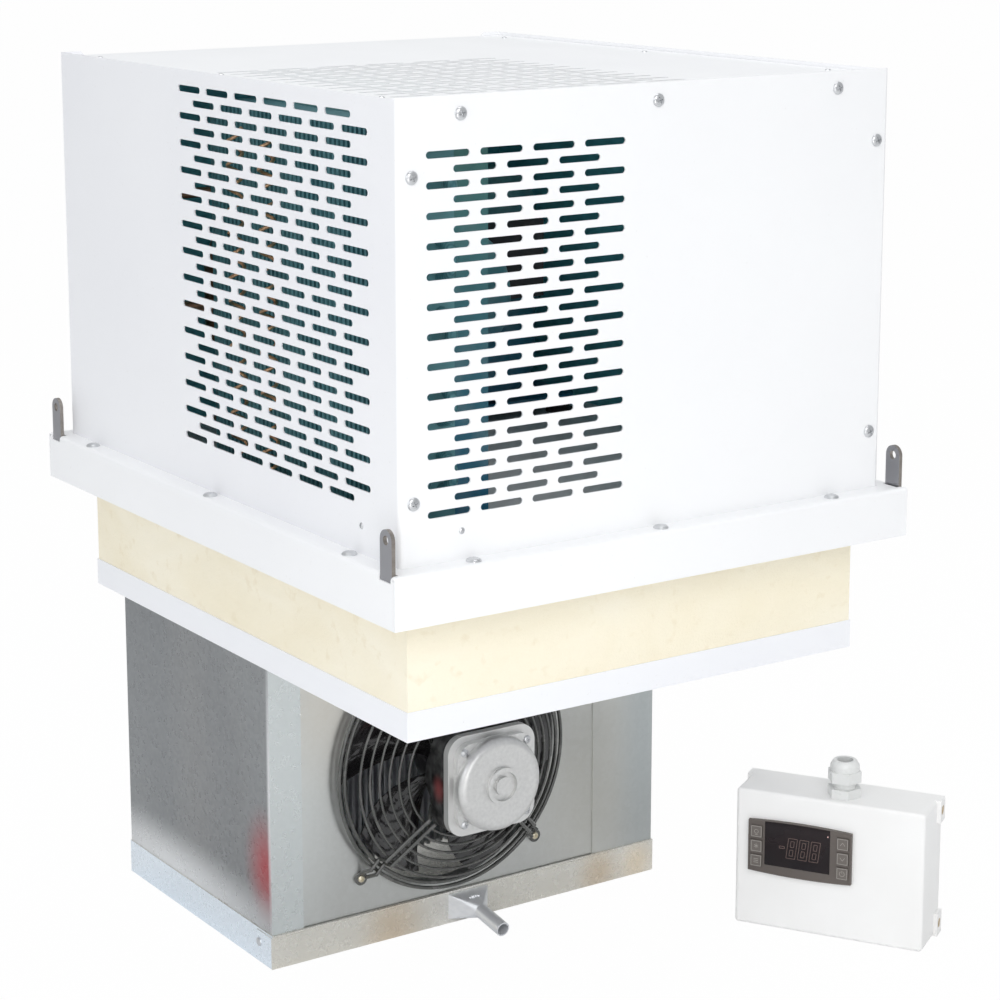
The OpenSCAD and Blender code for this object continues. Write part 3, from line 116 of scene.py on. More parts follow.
class Finish:
    """One material: its Principled shader, and a method that adds any other node."""

    def __init__(self, name, color, roughness, metallic=0.0, coat=0.0):
        self.material = bpy.data.materials.new(name)
        self.material.use_nodes = True
        self.tree = self.material.node_tree
        self.shader = self.tree.nodes["Principled BSDF"]
        self.set("Base Color", (*color, 1))
        self.set("Roughness", roughness)
        self.set("Metallic", metallic)
        self.set("Coat Weight", coat)
        self.material.diffuse_color = (*color, 1)

    def set(self, name, value):
        if isinstance(value, Link):
            self.tree.links.new(value.socket, self.shader.inputs[name])
        else:
            self.shader.inputs[name].default_value = value

    def node(self, kind, settings, sockets, output=0):
        made = self.tree.nodes.new("ShaderNode" + kind)
        for name, value in settings.items():
            if name == "stops":
                ramp = made.color_ramp
                while len(ramp.elements) < len(value):
                    ramp.elements.new(0.5)
                for element, (place, shade) in zip(ramp.elements, value):
                    element.position = place
                    element.color = (*shade, 1) if isinstance(shade, tuple) else (shade, shade, shade, 1)
            else:
                setattr(made, name, value)
        for name, value in sockets.items():
            if isinstance(value, Link):
                self.tree.links.new(value.socket, made.inputs[name])
            else:
                made.inputs[name].default_value = value
        return Link(self.tree, made.outputs[output])

    def place(self, scale=(1, 1, 1)):
        here = self.node("TexCoord", {}, {}, "Object")
        return self.node("Mapping", {}, {"Vector": here, "Scale": scale})

    def noise(self, scale, detail=3, stretch=(1, 1, 1), twist=0.0):
        return self.node("TexNoise", {}, {"Vector": self.place(stretch), "Scale": scale, "Detail": detail,
                                          "Distortion": twist})

    def near(self, x, y, z, reach, stretch=(1, 1, 1)):
        """One at a place on the unit, fading to nothing at a distance given in millimetres."""
        middle = [part * share for part, share in zip(spot(x, y, z), stretch)]
        away = self.node("VectorMath", {"operation": "DISTANCE"}, {0: self.place(stretch), 1: middle}, "Value")
        return self.node("MapRange", {"interpolation_type": "SMOOTHSTEP"},
                         {"Value": away, "From Min": reach * MM, "From Max": 0.0, "To Min": 0.0, "To Max": 1.0})

    def facing(self, *way):
        """One on faces that look a given way, falling to nothing on those square to it."""
        normal = self.node("NewGeometry", {}, {}, "Normal")
        turned = self.node("VectorMath", {"operation": "DOT_PRODUCT"}, {0: normal, 1: way}, "Value")
        return self.node("Clamp", {}, {"Value": turned})

    def levels(self, value, *stops):
        return self.node("ValToRGB", {"stops": stops}, {"Fac": value})

    def mix(self, factor, first, second):
        first, second = ((*tone, 1) if isinstance(tone, tuple) else tone for tone in (first, second))
        return self.node("Mix", {"data_type": "RGBA"}, {0: factor, 6: first, 7: second}, 2)

    def bump(self, height, strength, depth):
        self.set("Normal", self.node("Bump", {}, {"Strength": strength, "Distance": depth, "Height": height}))


def dress(finish, *names):
    for name in names:
        piece = nodes[name]
        piece.data.materials.clear()
        piece.data.materials.append(finish.material)


WHITE, DUSTY_WHITE = (0.93, 0.935, 0.945), (0.885, 0.89, 0.905)
SPECK, INNER_BLUE_GREEN = (0.62, 0.60, 0.56), (0.16, 0.66, 0.74)
ORANGE_PEEL = 0.06


def painted(name, shade, dusty):
    finish = Finish(name, shade, 0.34)
    cloud = finish.levels(finish.noise(3.2, 4), (0.35, 0.0), (0.7, 1.0))
    speck = finish.levels(finish.noise(420, 2), (0.70, 0.0), (0.78, 1.0))
    finish.set("Base Color", finish.mix(speck * 0.25, finish.mix(cloud * 0.8, shade, dusty), SPECK))
    finish.set("Roughness", finish.noise(26, 3) * 0.16 + 0.27)
    finish.bump(finish.noise(620, 2), ORANGE_PEEL, 0.0004)
    return finish


def outer_coat(finish):
    """The finish's present colour, to be mixed with another."""
    return Link(finish.tree, finish.shader.inputs["Base Color"].links[0].from_socket)


dress(painted("white_powder_coat", WHITE, DUSTY_WHITE), "front_panel", "top_panel", "roof_flange")
for panel, way in (("right_panel", (-1, 0, 0)), ("rear_panel", (0, -1, 0))):
    inner_tinted = painted("lined_" + panel, WHITE, DUSTY_WHITE)
    inside = inner_tinted.facing(*way)
    for axis, limit in (("Z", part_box("top_panel")[1].z - MM), ("Y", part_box("rear_panel")[0].y + MM / 2)):
        reached = inner_tinted.node("SeparateXYZ", {}, {"Vector": inner_tinted.place()}, axis)
        inside = inside * inner_tinted.node("Math", {"operation": "LESS_THAN"}, {0: reached, 1: limit})
    inner_tinted.set("Base Color", inner_tinted.mix(inside, outer_coat(inner_tinted), INNER_BLUE_GREEN))
    dress(inner_tinted, panel)
# Painted shade: the left panel has the same white coat as the front, drawn greyer and bluer for the light it
# gets.
dress(painted("white_powder_coat_shaded_side", (0.90, 0.905, 0.925), (0.85, 0.855, 0.885)), "left_panel")
dress(painted("white_tray_coat", (0.90, 0.91, 0.94), (0.85, 0.86, 0.90)), "plug_tray")

# The insulated plug is rigid polyurethane foam, foamed between the flange and the tray: a cream skin
# with fine pores, faint flow clouds and darker rubbed spots.
foam = Finish("cream_foam", (0.93, 0.87, 0.70), 0.86)
flow = foam.levels(foam.noise(7, 5, (1, 1, 2.2), 0.8), (0.3, 0.0), (0.72, 1.0))
pores = foam.node("TexVoronoi", {}, {"Vector": foam.place(), "Scale": 640.0})
rubbed = foam.levels(foam.noise(95, 3), (0.60, 0.0), (0.74, 1.0))
cream = foam.mix(flow, (0.95, 0.895, 0.745), (0.90, 0.825, 0.64))
foam.set("Base Color", foam.mix(rubbed * 0.35, cream, (0.80, 0.70, 0.50)))
foam.bump(pores + foam.noise(60, 4) * 0.6, 0.35, 0.0006)
dress(foam, "plug_foam")


# The evaporator casing and the drain pan are bright galvanised sheet. Zinc spangle gives patches of a
# few millimetres. What the rolled sheet would throw back of what stands around it is painted reflection:
# soft stretched streaks and warm glows in the base colour, and patches each given by its middle, its reach,
# its stretch, its strength and its colour; a painted light tone may lie on the faces that look one way.
def galvanised(name, bright, dark, warm, gloss, stretch, painted_reflections=(), turned=None):
    finish = Finish(name, bright, gloss, 0.85)
    spangle = finish.node("TexVoronoi", {"feature": "F1"}, {"Vector": finish.place(), "Scale": 300.0}, "Color")
    grain = finish.node("RGBToBW", {}, {"Color": spangle})
    # Painted reflection: stretched streaks and warm glows, then the listed patches, stand in for what the sheet
    # mirrors.
    streak = finish.levels(finish.noise(3.4, 4, stretch, 0.6), (0.34, 0.0), (0.68, 1.0))
    glow = finish.levels(finish.noise(2.1, 2, stretch, 0.9), (0.52, 0.0), (0.74, 1.0))
    tone = finish.mix(glow * 0.55, finish.mix(streak, bright, dark), warm)
    for x, y, z, reach, spread, strength, shade in painted_reflections:
        tone = finish.mix(finish.near(x, y, z, reach, spread) * strength, tone, shade)
    # Painted light: a tone on the faces that look the given way.
    if turned:
        tone = finish.mix(finish.facing(*turned[0]), tone, turned[1])
    finish.set("Base Color", finish.mix(grain * 0.08, tone, (0.93, 0.95, 0.97)))
    finish.set("Roughness", grain * 0.10 + (gloss - 0.05))
    return finish


# Painted reflection: the left side sheet has a dark base tone for the dark surroundings it mirrors, a red
# patch, a white glare low on it and a thin bright upright line; its faces that look to the front get a painted
# lighter tone.
side_zinc = galvanised(
    "galvanised_side", (0.26, 0.27, 0.275), (0.19, 0.20, 0.21), (0.30, 0.29, 0.28), 0.30, (1, 1, 0.5), (
        (29, 248, -304, 52, (1, 1.3, 0.9), 0.95, (0.40, 0.05, 0.06)),
        (29, 400, -356, 44, (1, 0.15, 1), 0.85, (0.88, 0.89, 0.90)),
        (29, 241, -240, 5, (1, 1, 0.03), 0.8, (0.85, 0.86, 0.88)),
    ), ((0, -1, 0), (0.62, 0.66, 0.66)))
dress(side_zinc, "evap_side_left")
# Painted reflection: the right side and the fan panel get a lighter base tone than the left side, with pale,
# warm and darker patches.
face_zinc = galvanised(
    "galvanised_face", (0.56, 0.57, 0.55), (0.49, 0.50, 0.49), (0.62, 0.59, 0.53), 0.34, (1.2, 1, 0.35), (
        (46, 241, -250, 60, (1, 1, 0.3), 0.8, (0.66, 0.69, 0.68)),
        (80, 241, -170, 60, (1, 1, 0.6), 0.6, (0.70, 0.66, 0.58)),
        (330, 241, -300, 70, (1, 1, 0.5), 0.5, (0.66, 0.65, 0.60)),
        (392, 241, -250, 40, (1, 1, 0.15), 0.8, (0.44, 0.48, 0.49)),
    ))
dress(face_zinc, "evap_side_right", "fan_panel")
# Painted reflection: the pan gets the lightest base tone, warm and white patches along its front and a bluish
# sheen on the faces that look left.
pan_zinc = galvanised(
    "galvanised_pan", (0.84, 0.82, 0.76), (0.68, 0.66, 0.60), (0.84, 0.72, 0.54), 0.26, (0.9, 0.9, 0.3), (
        (140, 238, -372, 40, (1, 1, 1), 0.6, (0.70, 0.54, 0.36)),
        (205, 238, -372, 34, (1, 1, 1), 0.7, (0.98, 0.97, 0.94)),
        (345, 238, -372, 30, (1, 1, 1), 0.6, (0.66, 0.50, 0.32)),
        (385, 238, -372, 26, (1, 1, 1), 0.6, (0.88, 0.72, 0.50)),
    ), ((-1, 0, 0), (0.84, 0.91, 0.98)))
dress(pan_zinc, "drain_pan")
inner_zinc = galvanised(
    "galvanised_inner", (0.62, 0.63, 0.64), (0.50, 0.51, 0.53), (0.62, 0.60, 0.56), 0.42, (1, 1, 1))
dress(inner_zinc, "motor_bracket")


# Satin metals. The drain spout is a welded aluminium tube on a flared foot, brushed along its length; the
# motor has a die-cast cover over a stator of steel laminations with red windings; straps and screws are
# zinc plated, and the pipes are dull copper.
def satin_metal(name, bright, dark, roughness, scale, stretch, bump):
    finish = Finish(name, bright, roughness, 0.92)
    brush = finish.noise(scale, 4, stretch)
    finish.set("Base Color", finish.mix(brush, dark, bright))
    finish.set("Roughness", finish.noise(scale * 0.4, 2, stretch) * 0.2 + (roughness - 0.1))
    finish.bump(brush, bump, 0.0003)
    return finish


spout_metal = satin_metal(
    "welded_aluminium", (0.90, 0.91, 0.93), (0.70, 0.72, 0.75), 0.34, 90, (3, 0.4, 3), 0.25)
spout_metal.set("Metallic", 0.55)
dress(spout_metal, "drain_spout")
cast_alloy = satin_metal(
    "die_cast_alloy", (0.80, 0.80, 0.79), (0.60, 0.60, 0.595), 0.42, 320, (1, 1, 1), 0.30)
dress(cast_alloy, "fan_motor_cover")
MOTOR_FLANGE_Y = 184.5
laminations = satin_metal(
    "stator_laminations", (0.15, 0.145, 0.14), (0.05, 0.05, 0.05), 0.50, 90, (0.3, 6, 0.3), 0.30)
depth = laminations.node("SeparateXYZ", {}, {"Vector": laminations.place()}, "Y")
flange = laminations.node("Math", {"operation": "LESS_THAN"}, {0: depth, 1: spot(0, MOTOR_FLANGE_Y, 0).y})
windings = laminations.near(157, 192, -246, 15, (0.4, 1.4, 1))
plates = laminations.levels(laminations.noise(120, 2), (0.3, 0.03), (0.7, 0.16))
wound = laminations.mix(windings * 0.9, plates, (0.52, 0.14, 0.14))
laminations.set("Base Color", laminations.mix(flange, wound, (0.74, 0.74, 0.73)))
dress(laminations, "fan_motor")
strap_steel = satin_metal(
    "galvanised_strap", (0.40, 0.37, 0.34), (0.22, 0.20, 0.18), 0.36, 140, (1, 1, 2), 0.10)
# Painted light: the straps' left-facing edges get a flat bluish grey for how light falls on them.
strap_edge_painted_light = strap_steel.facing(-1, 0, 0)
strap_steel.set("Base Color", strap_steel.mix(strap_edge_painted_light, outer_coat(strap_steel), (0.36, 0.36, 0.38)))
dress(strap_steel, "lifting_lugs")
zinc_steel = satin_metal(
    "zinc_plated_steel", (0.78, 0.79, 0.80), (0.50, 0.51, 0.53), 0.30, 260, (1, 1, 1), 0.12)
dress(zinc_steel, "panel_screws", "flange_bolts", "pan_rivets", "guard_screws", "motor_screws")
warm_steel = satin_metal(
    "warm_zinc_steel", (0.86, 0.80, 0.62), (0.56, 0.50, 0.38), 0.28, 260, (1, 1, 1), 0.12)
yellow_steel = satin_metal(
    "yellow_passivated_steel", (0.72, 0.55, 0.30), (0.30, 0.21, 0.12), 0.36, 260, (1, 1, 1), 0.15)
dress(yellow_steel, "box_screws")
copper = satin_metal("dull_copper", (0.80, 0.45, 0.28), (0.46, 0.24, 0.16), 0.38, 120, (1, 1, 0.3), 0.10)
dress(copper, "evap_tubes", "discharge_pipe", "liquid_pipe", "expansion_pipe", "suction_pipe",
      "filter_drier")


# Fin packs: thin aluminium strips pressed over the tubes. The evaporator's are bare and the condenser's
# carry a blue-green coat, as its tubes do; the strips show as fine upright lines.
def finned(name, bright, dark, roughness, metallic, axis):
    finish = Finish(name, bright, roughness, metallic)
    stripes = finish.node("TexWave", {"bands_direction": axis},
                          {"Vector": finish.place(), "Scale": 160.0, "Distortion": 0.6, "Detail": 1.0})
    worn = finish.levels(finish.noise(24, 3), (0.45, 0.0), (0.75, 1.0))
    finish.set("Base Color", finish.mix(stripes * 0.6 + worn * 0.3, bright, dark))
    finish.bump(stripes, 0.4, 0.0004)
    return finish


dress(finned("bare_fins", (0.80, 0.82, 0.84), (0.48, 0.50, 0.53), 0.35, 0.8, "X"), "evap_fins")
dress(finned("coated_fins", (0.19, 0.44, 0.48), (0.05, 0.21, 0.26), 0.40, 0.2, "Y"),
      "condenser_fins", "condenser_tubes")


# Black parts: plastic-coated guard wires, moulded fan blades, plastic covers and the compressor's rubber
# mounts. All share a deep tone and a trace of dust; the wires and the blades are glossy.
def black(name, shade, roughness, coat, dust, relief=0.06):
    finish = Finish(name, shade, roughness, 0.0, coat)
    film = finish.levels(finish.noise(60, 4), (0.5, 0.0), (0.8, 1.0))
    finish.set("Base Color", finish.mix(film * dust, shade, (0.32, 0.31, 0.29)))
    finish.set("Roughness", film * 0.25 + roughness)
    finish.bump(finish.noise(540, 2), relief, 0.0003)
    return finish


dress(black("coated_guard_wire", (0.050, 0.052, 0.048), 0.17, 0.9, 0.22, 0.01), "guard_rings", "guard_arms")
dress(black("moulded_blades", (0.014, 0.013, 0.014), 0.13, 0.8, 0.08, 0.004), "evap_fan", "condenser_fan")
dress(black("black_plastic", (0.035, 0.036, 0.040), 0.45, 0.0, 0.20),
      "compressor_cover", "rear_gland", "controller_body")
dress(black("black_rubber", (0.030, 0.030, 0.031), 0.80, 0.0, 0.30), "compressor_mounts")


# What stands inside the casing wears a blue-green stove enamel with paler dusty clouds. Painted light:
# it is drawn lighter and greener towards the top, where more daylight comes in, darker and bluer below.
ENAMEL_LOW, ENAMEL_HIGH = 20, 290
enamel = Finish("blue_green_enamel", (0.03, 0.12, 0.13), 0.42)
height = enamel.node("SeparateXYZ", {}, {"Vector": enamel.place()}, "Z")
# Painted light: the tone runs from the darker bluer low one to the lighter greener high one between these
# heights.
rise = enamel.node("MapRange", {}, {"Value": height, "From Min": spot(0, 0, ENAMEL_LOW).z,
                                    "From Max": spot(0, 0, ENAMEL_HIGH).z, "To Min": 0.0, "To Max": 1.0})
dusty = enamel.levels(enamel.noise(38, 3), (0.45, 0.0), (0.75, 1.0))
shaded = enamel.mix(rise, (0.02, 0.17, 0.30), (0.12, 0.32, 0.29))
enamel.set("Base Color", enamel.mix(dusty * 0.4, shaded, (0.30, 0.42, 0.44)))
enamel.set("Roughness", enamel.noise(20, 2) * 0.2 + 0.32)
dress(enamel, "electrical_box", "fan_shroud", "compressor", "condenser_motor")


# The control box is injection moulded in white, with a fine matt grain. Its gland is a glossier light
# grey polyamide with a rubber seal, and the controller's bezel and keys are a brownish grey.
def moulded(name, shade, soft, roughness, scale, bump):
    finish = Finish(name, shade, roughness)
    cloud = finish.levels(finish.noise(9, 3), (0.3, 0.0), (0.7, 1.0))
    finish.set("Base Color", finish.mix(cloud, shade, soft))
    finish.set("Roughness", finish.noise(40, 2) * 0.14 + (roughness - 0.07))
    finish.bump(finish.noise(scale, 2), bump, 0.0003)
    return finish


dress(moulded("white_moulded_box", (0.93, 0.93, 0.925), (0.885, 0.88, 0.87), 0.46, 900, 0.14),
      "box_shell", "box_base")
dress(moulded("grey_polyamide", (0.80, 0.81, 0.80), (0.72, 0.73, 0.72), 0.30, 500, 0.06),
      "gland_body", "gland_nut")
dress(moulded("grey_seal_rubber", (0.22, 0.22, 0.23), (0.15, 0.15, 0.16), 0.75, 700, 0.20), "gland_seal")
dress(moulded("brown_grey_bezel", (0.135, 0.115, 0.102), (0.095, 0.080, 0.072), 0.45, 1200, 0.12),
      "controller_bezel")
dress(moulded("soft_touch_keys", (0.165, 0.145, 0.130), (0.125, 0.110, 0.098), 0.55, 1400, 0.12),
      "button_up", "button_down", "button_power", "button_set", "button_defrost", "button_light")
window = Finish("smoked_window", (0.022, 0.012, 0.014), 0.12, 0.0, 0.15)
window.set("Specular IOR Level", 0.22)
smoke = window.levels(window.noise(30, 3), (0.3, 0.0), (0.7, 1.0))
window.set("Base Color", window.mix(smoke, (0.016, 0.008, 0.009), (0.006, 0.004, 0.006)))
window.set("Roughness", smoke * 0.12 + 0.16)
dress(window, "display_window")


# Screw heads: pressed pan heads, zinc plated, most with a cross recess. One head of a size is domed by
# insets and its cross is cut, and a copy sits on the place of each screw of the unit.
def bare():
    if bpy.context.object and bpy.context.object.mode != "OBJECT":
        bpy.ops.object.mode_set(mode="OBJECT")
    bpy.ops.object.select_all(action="DESELECT")


def choose(piece, test):
    """Leaves edit mode open on a piece with the faces that pass a test selected."""
    bpy.ops.object.mode_set(mode="EDIT")
    bpy.ops.mesh.select_mode(type="FACE")
    bpy.ops.mesh.select_all(action="DESELECT")
    bpy.ops.object.mode_set(mode="OBJECT")
    for face in piece.data.polygons:
        face.select = test(face)
    bpy.ops.object.mode_set(mode="EDIT")


def apply_modifier(piece, kind, **settings):
    added = piece.modifiers.new(kind.lower(), kind)
    for name, value in settings.items():
        setattr(added, name, value)
    bpy.context.view_layer.objects.active = piece
    bpy.ops.object.modifier_apply(modifier=added.name)


def finish_piece(piece, name, finish, body, place=None, angle=35):
    """Names a piece, puts its place in its mesh, smooths its shading and gives it its finish and body."""
    bare()
    piece.select_set(True)
    bpy.context.view_layer.objects.active = piece
    if place is not None:
        piece.matrix_world = place
    bpy.ops.object.transform_apply(location=True, rotation=True, scale=True)
    bpy.ops.object.shade_smooth_by_angle(angle=math.radians(angle))
    piece.name = name
    piece.data.name = name
    piece.data.materials.clear()
    piece.data.materials.append(finish.material)
    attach(piece, body)
    return piece


def copied(piece):
    twin = piece.copy()
    twin.data = piece.data.copy()
    bpy.context.scene.collection.objects.link(twin)
    return twin


def joined(pieces):
    bare()
    for piece in pieces:
        piece.select_set(True)
    bpy.context.view_layer.objects.active = pieces[0]
    if len(pieces) > 1:
        bpy.ops.object.join()
    return bpy.context.view_layer.objects.active


def pan_head(width, height, recess):
    bare()
    bpy.ops.mesh.primitive_cylinder_add(vertices=32, radius=width / 2, depth=height * 0.4,
                                        location=(0, 0, height * 0.2))
    head = bpy.context.active_object
    choose(head, lambda face: face.normal.z > 0.9)
    for share, rise in ((0.08, 0.22), (0.16, 0.18), (0.24, 0.12), (0.26, 0.08)):
        bpy.ops.mesh.inset(thickness=share * width / 2, depth=rise * height)
    bpy.ops.object.mode_set(mode="OBJECT")
    if recess:
        bare()
        cutters = []
        for turn in (0, math.pi / 2):
            bpy.ops.mesh.primitive_cube_add(size=1, location=(0, 0, height), rotation=(0, 0, turn + 0.4))
            blade = bpy.context.active_object
            blade.scale = (width * 0.5, width * 0.11, height * 0.9)
            bpy.ops.object.transform_apply(location=False, rotation=True, scale=True)
            cutters.append(blade)
        for blade in cutters:
            apply_modifier(head, "BOOLEAN", operation="DIFFERENCE", object=blade, solver="EXACT")
            bpy.data.objects.remove(blade)
    return head


def solids(node):
    """Lowest and highest corner of each separate solid of a CAD node."""
    mesh = nodes[node].data
    home = {}

    def root(key):
        while home[key] != key:
            home[key] = home[home[key]]
            key = home[key]
        return key

    for face in mesh.polygons:
        keys = [tuple(round(c * 100000) for c in mesh.vertices[i].co) for i in face.vertices]
        for key in keys:
            home.setdefault(key, key)
        for key in keys[1:]:
            home[root(key)] = root(keys[0])
    groups = {}
    for key in home:
        groups.setdefault(root(key), []).append(key)
    return [(Vector([min(k[i] for k in keys) / 100000 for i in range(3)]),
             Vector([max(k[i] for k in keys) / 100000 for i in range(3)])) for keys in groups.values()]


def framed(origin, z_axis):
    """A place whose Z points along an axis, its X level."""
    z_axis = Vector(z_axis).normalized()
    x_axis = Vector((0, 0, 1)).cross(z_axis) if abs(z_axis.z) < 0.9 else Vector((1, 0, 0))
    x_axis.normalize()
    return Matrix.Translation(origin) @ Matrix((x_axis, z_axis.cross(x_axis), z_axis)).transposed().to_4x4()


casing_high = Vector((*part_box("right_panel")[1].xy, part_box("front_panel")[1].z))


def outward(low, high):
    """The way that a fastener's head points, from the face of the unit that it sits on."""
    middle = (low + high) / 2
    if middle.z > casing_high.z - 0.012:
        return Vector((0, 0, 1))
    if middle.y > casing_high.y - 0.006:
        return Vector((0, 1, 0))
    if middle.x < corner.x + 0.003:
        return Vector((-1, 0, 0))
    return Vector((0, -1, 0))


def heads(node, name, height, recess, finish, way=None):
    """Sets a detailed head where each screw of a node is."""
    made, patterns = [], {}
    for low, high in solids(node):
        axis = Vector(way) if way else outward(low, high)
        across = [high[i] - low[i] for i in range(3) if abs(axis[i]) < 0.5]
        middle = (low + high) / 2
        tip = Vector([high[i] if axis[i] > 0.5 else low[i] if axis[i] < -0.5 else middle[i] for i in range(3)])
        width = round(max(across), 5)
        if width not in patterns:
            patterns[width] = pan_head(width, height, recess)
        head = copied(patterns[width])
        head.matrix_world = framed(tip - axis * height, axis)
        bare()
        head.select_set(True)
        bpy.context.view_layer.objects.active = head
        bpy.ops.object.transform_apply(location=True, rotation=True, scale=True)
        made.append(head)
    for pattern in patterns.values():
        bpy.data.objects.remove(pattern)
    piece = finish_piece(joined(made), name, finish, "unit", angle=28)
    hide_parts(node)


heads("panel_screws", "panel_screw_heads", 0.003, True, zinc_steel)
heads("flange_bolts", "flange_bolt_heads", 0.0032, False, zinc_steel, (0, 0, 1))
heads("guard_screws", "guard_screw_heads", 0.0022, True, warm_steel, (0, -1, 0))
heads("motor_screws", "motor_screw_heads", 0.0024, True, zinc_steel, (0, -1, 0))

# The controller's display shows three unlit seven-segment digits and a minus sign behind the smoked
# window; the keys carry a light frame and a generic sign. All are printed or let in, a hair proud.
BOX_TURN = math.radians(-58)
along = Vector((math.cos(BOX_TURN), math.sin(BOX_TURN), 0))
inward = Vector((-math.sin(BOX_TURN), math.cos(BOX_TURN), 0))
BEZEL_LEFT, BEZEL_LOW = 11.7, 46.7
BOX_AT = spot(390, 113, -383.8)
BEZEL_AXES = Matrix((along, Vector((0, 0, 1)), -inward)).transposed().to_4x4()
PRINT = 0.12


def on_bezel(x, y, z):
    """A place on the controller in millimetres from the bezel's lower left corner, Y out of its face."""
    return BOX_AT + (along * (x + BEZEL_LEFT) - inward * y + Vector((0, 0, 1)) * (z + BEZEL_LOW)) * MM


def stroke(start, end, width, face):
    """A flat printed stroke with pointed ends between two places on a face of the controller."""
    length = math.dist(start, end)
    bare()
    bpy.ops.mesh.primitive_cylinder_add(vertices=4, radius=0.5, depth=1)
    bar = bpy.context.active_object
    choose(bar, lambda piece_face: True)
    bpy.ops.transform.rotate(value=math.pi / 4, orient_axis="Z", center_override=(0, 0, 0))
    bpy.ops.transform.resize(value=(math.sqrt(2) * (length - width * 0.3), math.sqrt(2) * width, PRINT))
    bpy.ops.mesh.select_all(action="DESELECT")
    bpy.ops.object.mode_set(mode="OBJECT")
    choose(bar, lambda piece_face: abs(piece_face.normal.x) > 0.9)
    bpy.ops.mesh.inset(thickness=0.0001, depth=0)
    bpy.ops.mesh.merge(type="COLLAPSE")
    bpy.ops.object.mode_set(mode="OBJECT")
    turn = math.atan2(end[1] - start[1], end[0] - start[0])
    middle = on_bezel((start[0] + end[0]) / 2, face, (start[1] + end[1]) / 2)
    bar.matrix_world = (Matrix.Translation(middle) @ BEZEL_AXES @ Matrix.Rotation(turn, 4, "Z")
                        @ Matrix.Scale(MM, 4))
    bpy.ops.object.transform_apply(location=True, rotation=True, scale=True)
    return bar


# The smoked pane lies over the display and reaches up to the bezel's arched edge.
PANE_LEFT, PANE_RIGHT, PANE_LOW, PANE_HIGH = 14.0, 68.4, 8.0, 45.4
PANE_THICK, PANE_FACE = 0.2, 3.5
ARCH_RADIUS, ARCH_MIDDLE = 578.4, 43.0
bare()
bpy.ops.mesh.primitive_cube_add(size=1)
pane = bpy.context.active_object
pane.dimensions = (PANE_RIGHT - PANE_LEFT, PANE_HIGH - PANE_LOW, PANE_THICK)
bpy.ops.object.transform_apply(location=False, rotation=False, scale=True)
bpy.ops.mesh.primitive_cylinder_add(vertices=720, radius=ARCH_RADIUS, depth=2,
                                    location=(ARCH_MIDDLE - (PANE_LEFT + PANE_RIGHT) / 2,
                                              (PANE_HIGH - PANE_LOW) / 2 - ARCH_RADIUS, 0))
arch = bpy.context.active_object
apply_modifier(pane, "BOOLEAN", operation="INTERSECT", object=arch, solver="EXACT")
bpy.data.objects.remove(arch)
apply_modifier(pane, "BEVEL", width=0.08, segments=2, limit_method="ANGLE")
finish_piece(pane, "display_pane", window, "unit",
             Matrix.Translation(on_bezel((PANE_LEFT + PANE_RIGHT) / 2, PANE_FACE, (PANE_LOW + PANE_HIGH) / 2))
             @ BEZEL_AXES @ Matrix.Scale(MM, 4))


def strokes(name, lines, width, face, finish, body):
    made = joined([stroke(start, end, width, face) for start, end in lines])
    finish_piece(made, name, finish, body)


segment_tone = moulded("unlit_segments", (0.15, 0.10, 0.085), (0.10, 0.065, 0.058), 0.40, 900, 0.05)
sign_tone = moulded("printed_signs", (0.40, 0.375, 0.35), (0.33, 0.31, 0.29), 0.50, 900, 0.05)
DIGIT_W, DIGIT_H, DIGIT_BAR, SLANT = 7.4, 17.0, 2.3, 0.12
DIGITS_LEFT, DIGITS_LOW = (32.0, 41.6, 51.2), 16.4
MINUS_SIGN = (26.4, 24.0, 4.2, 1.8)
WINDOW_FACE, KEY_FACE = 3.6, 4.3


def frame_lines(x, z, w, h):
    return [((x, z), (x + w, z)), ((x, z + h), (x + w, z + h)),
            ((x, z), (x, z + h)), ((x + w, z), (x + w, z + h))]


def digit_lines(x, z):
    """Outlines of an unlit eight: its outer edge and its two counters, leaning to the right."""
    inside = DIGIT_W - 2 * DIGIT_BAR
    counter = (DIGIT_H - 3 * DIGIT_BAR) / 2
    boxes = [(0, 0, DIGIT_W, DIGIT_H), (DIGIT_BAR, DIGIT_BAR, inside, counter),
             (DIGIT_BAR, 2 * DIGIT_BAR + counter, inside, counter)]
    lines = []
    for left, low, w, h in boxes:
        rim = [(x + left + across + SLANT * (low + rise), z + low + rise)
               for across, rise in ((0, 0), (w, 0), (w, h), (0, h))]
        lines += list(zip(rim, rim[1:] + rim[:1]))
    return lines


digits = []
for left in DIGITS_LEFT:
    digits += digit_lines(left, DIGITS_LOW)
digits += frame_lines(*MINUS_SIGN)
strokes("display_digits", digits, 0.5, WINDOW_FACE, segment_tone, "unit")
# The status lamp near the window's top right is drawn as a pale pink dot: its red with a painted glint on it.
strokes("painted_lamp_glint", [((66.0, 39.6), (67.2, 39.6))], 1.0, WINDOW_FACE,
        moulded("painted_lamp_glint_tone", (0.95, 0.70, 0.66), (0.90, 0.45, 0.42), 0.35, 900, 0.05), "unit")


def ring_lines(x, z, r, first, last, count):
    turns = [math.radians(first + (last - first) * step / count) for step in range(count + 1)]
    rim = [(x + r * math.cos(turn), z + r * math.sin(turn)) for turn in turns]
    return list(zip(rim, rim[1:]))


def star_lines(x, z, r):
    ways = [(r * math.cos(turn), r * math.sin(turn)) for turn in (math.pi / 6, math.pi / 2, math.pi * 5 / 6)]
    return [((x - across, z - rise), (x + across, z + rise)) for across, rise in ways]


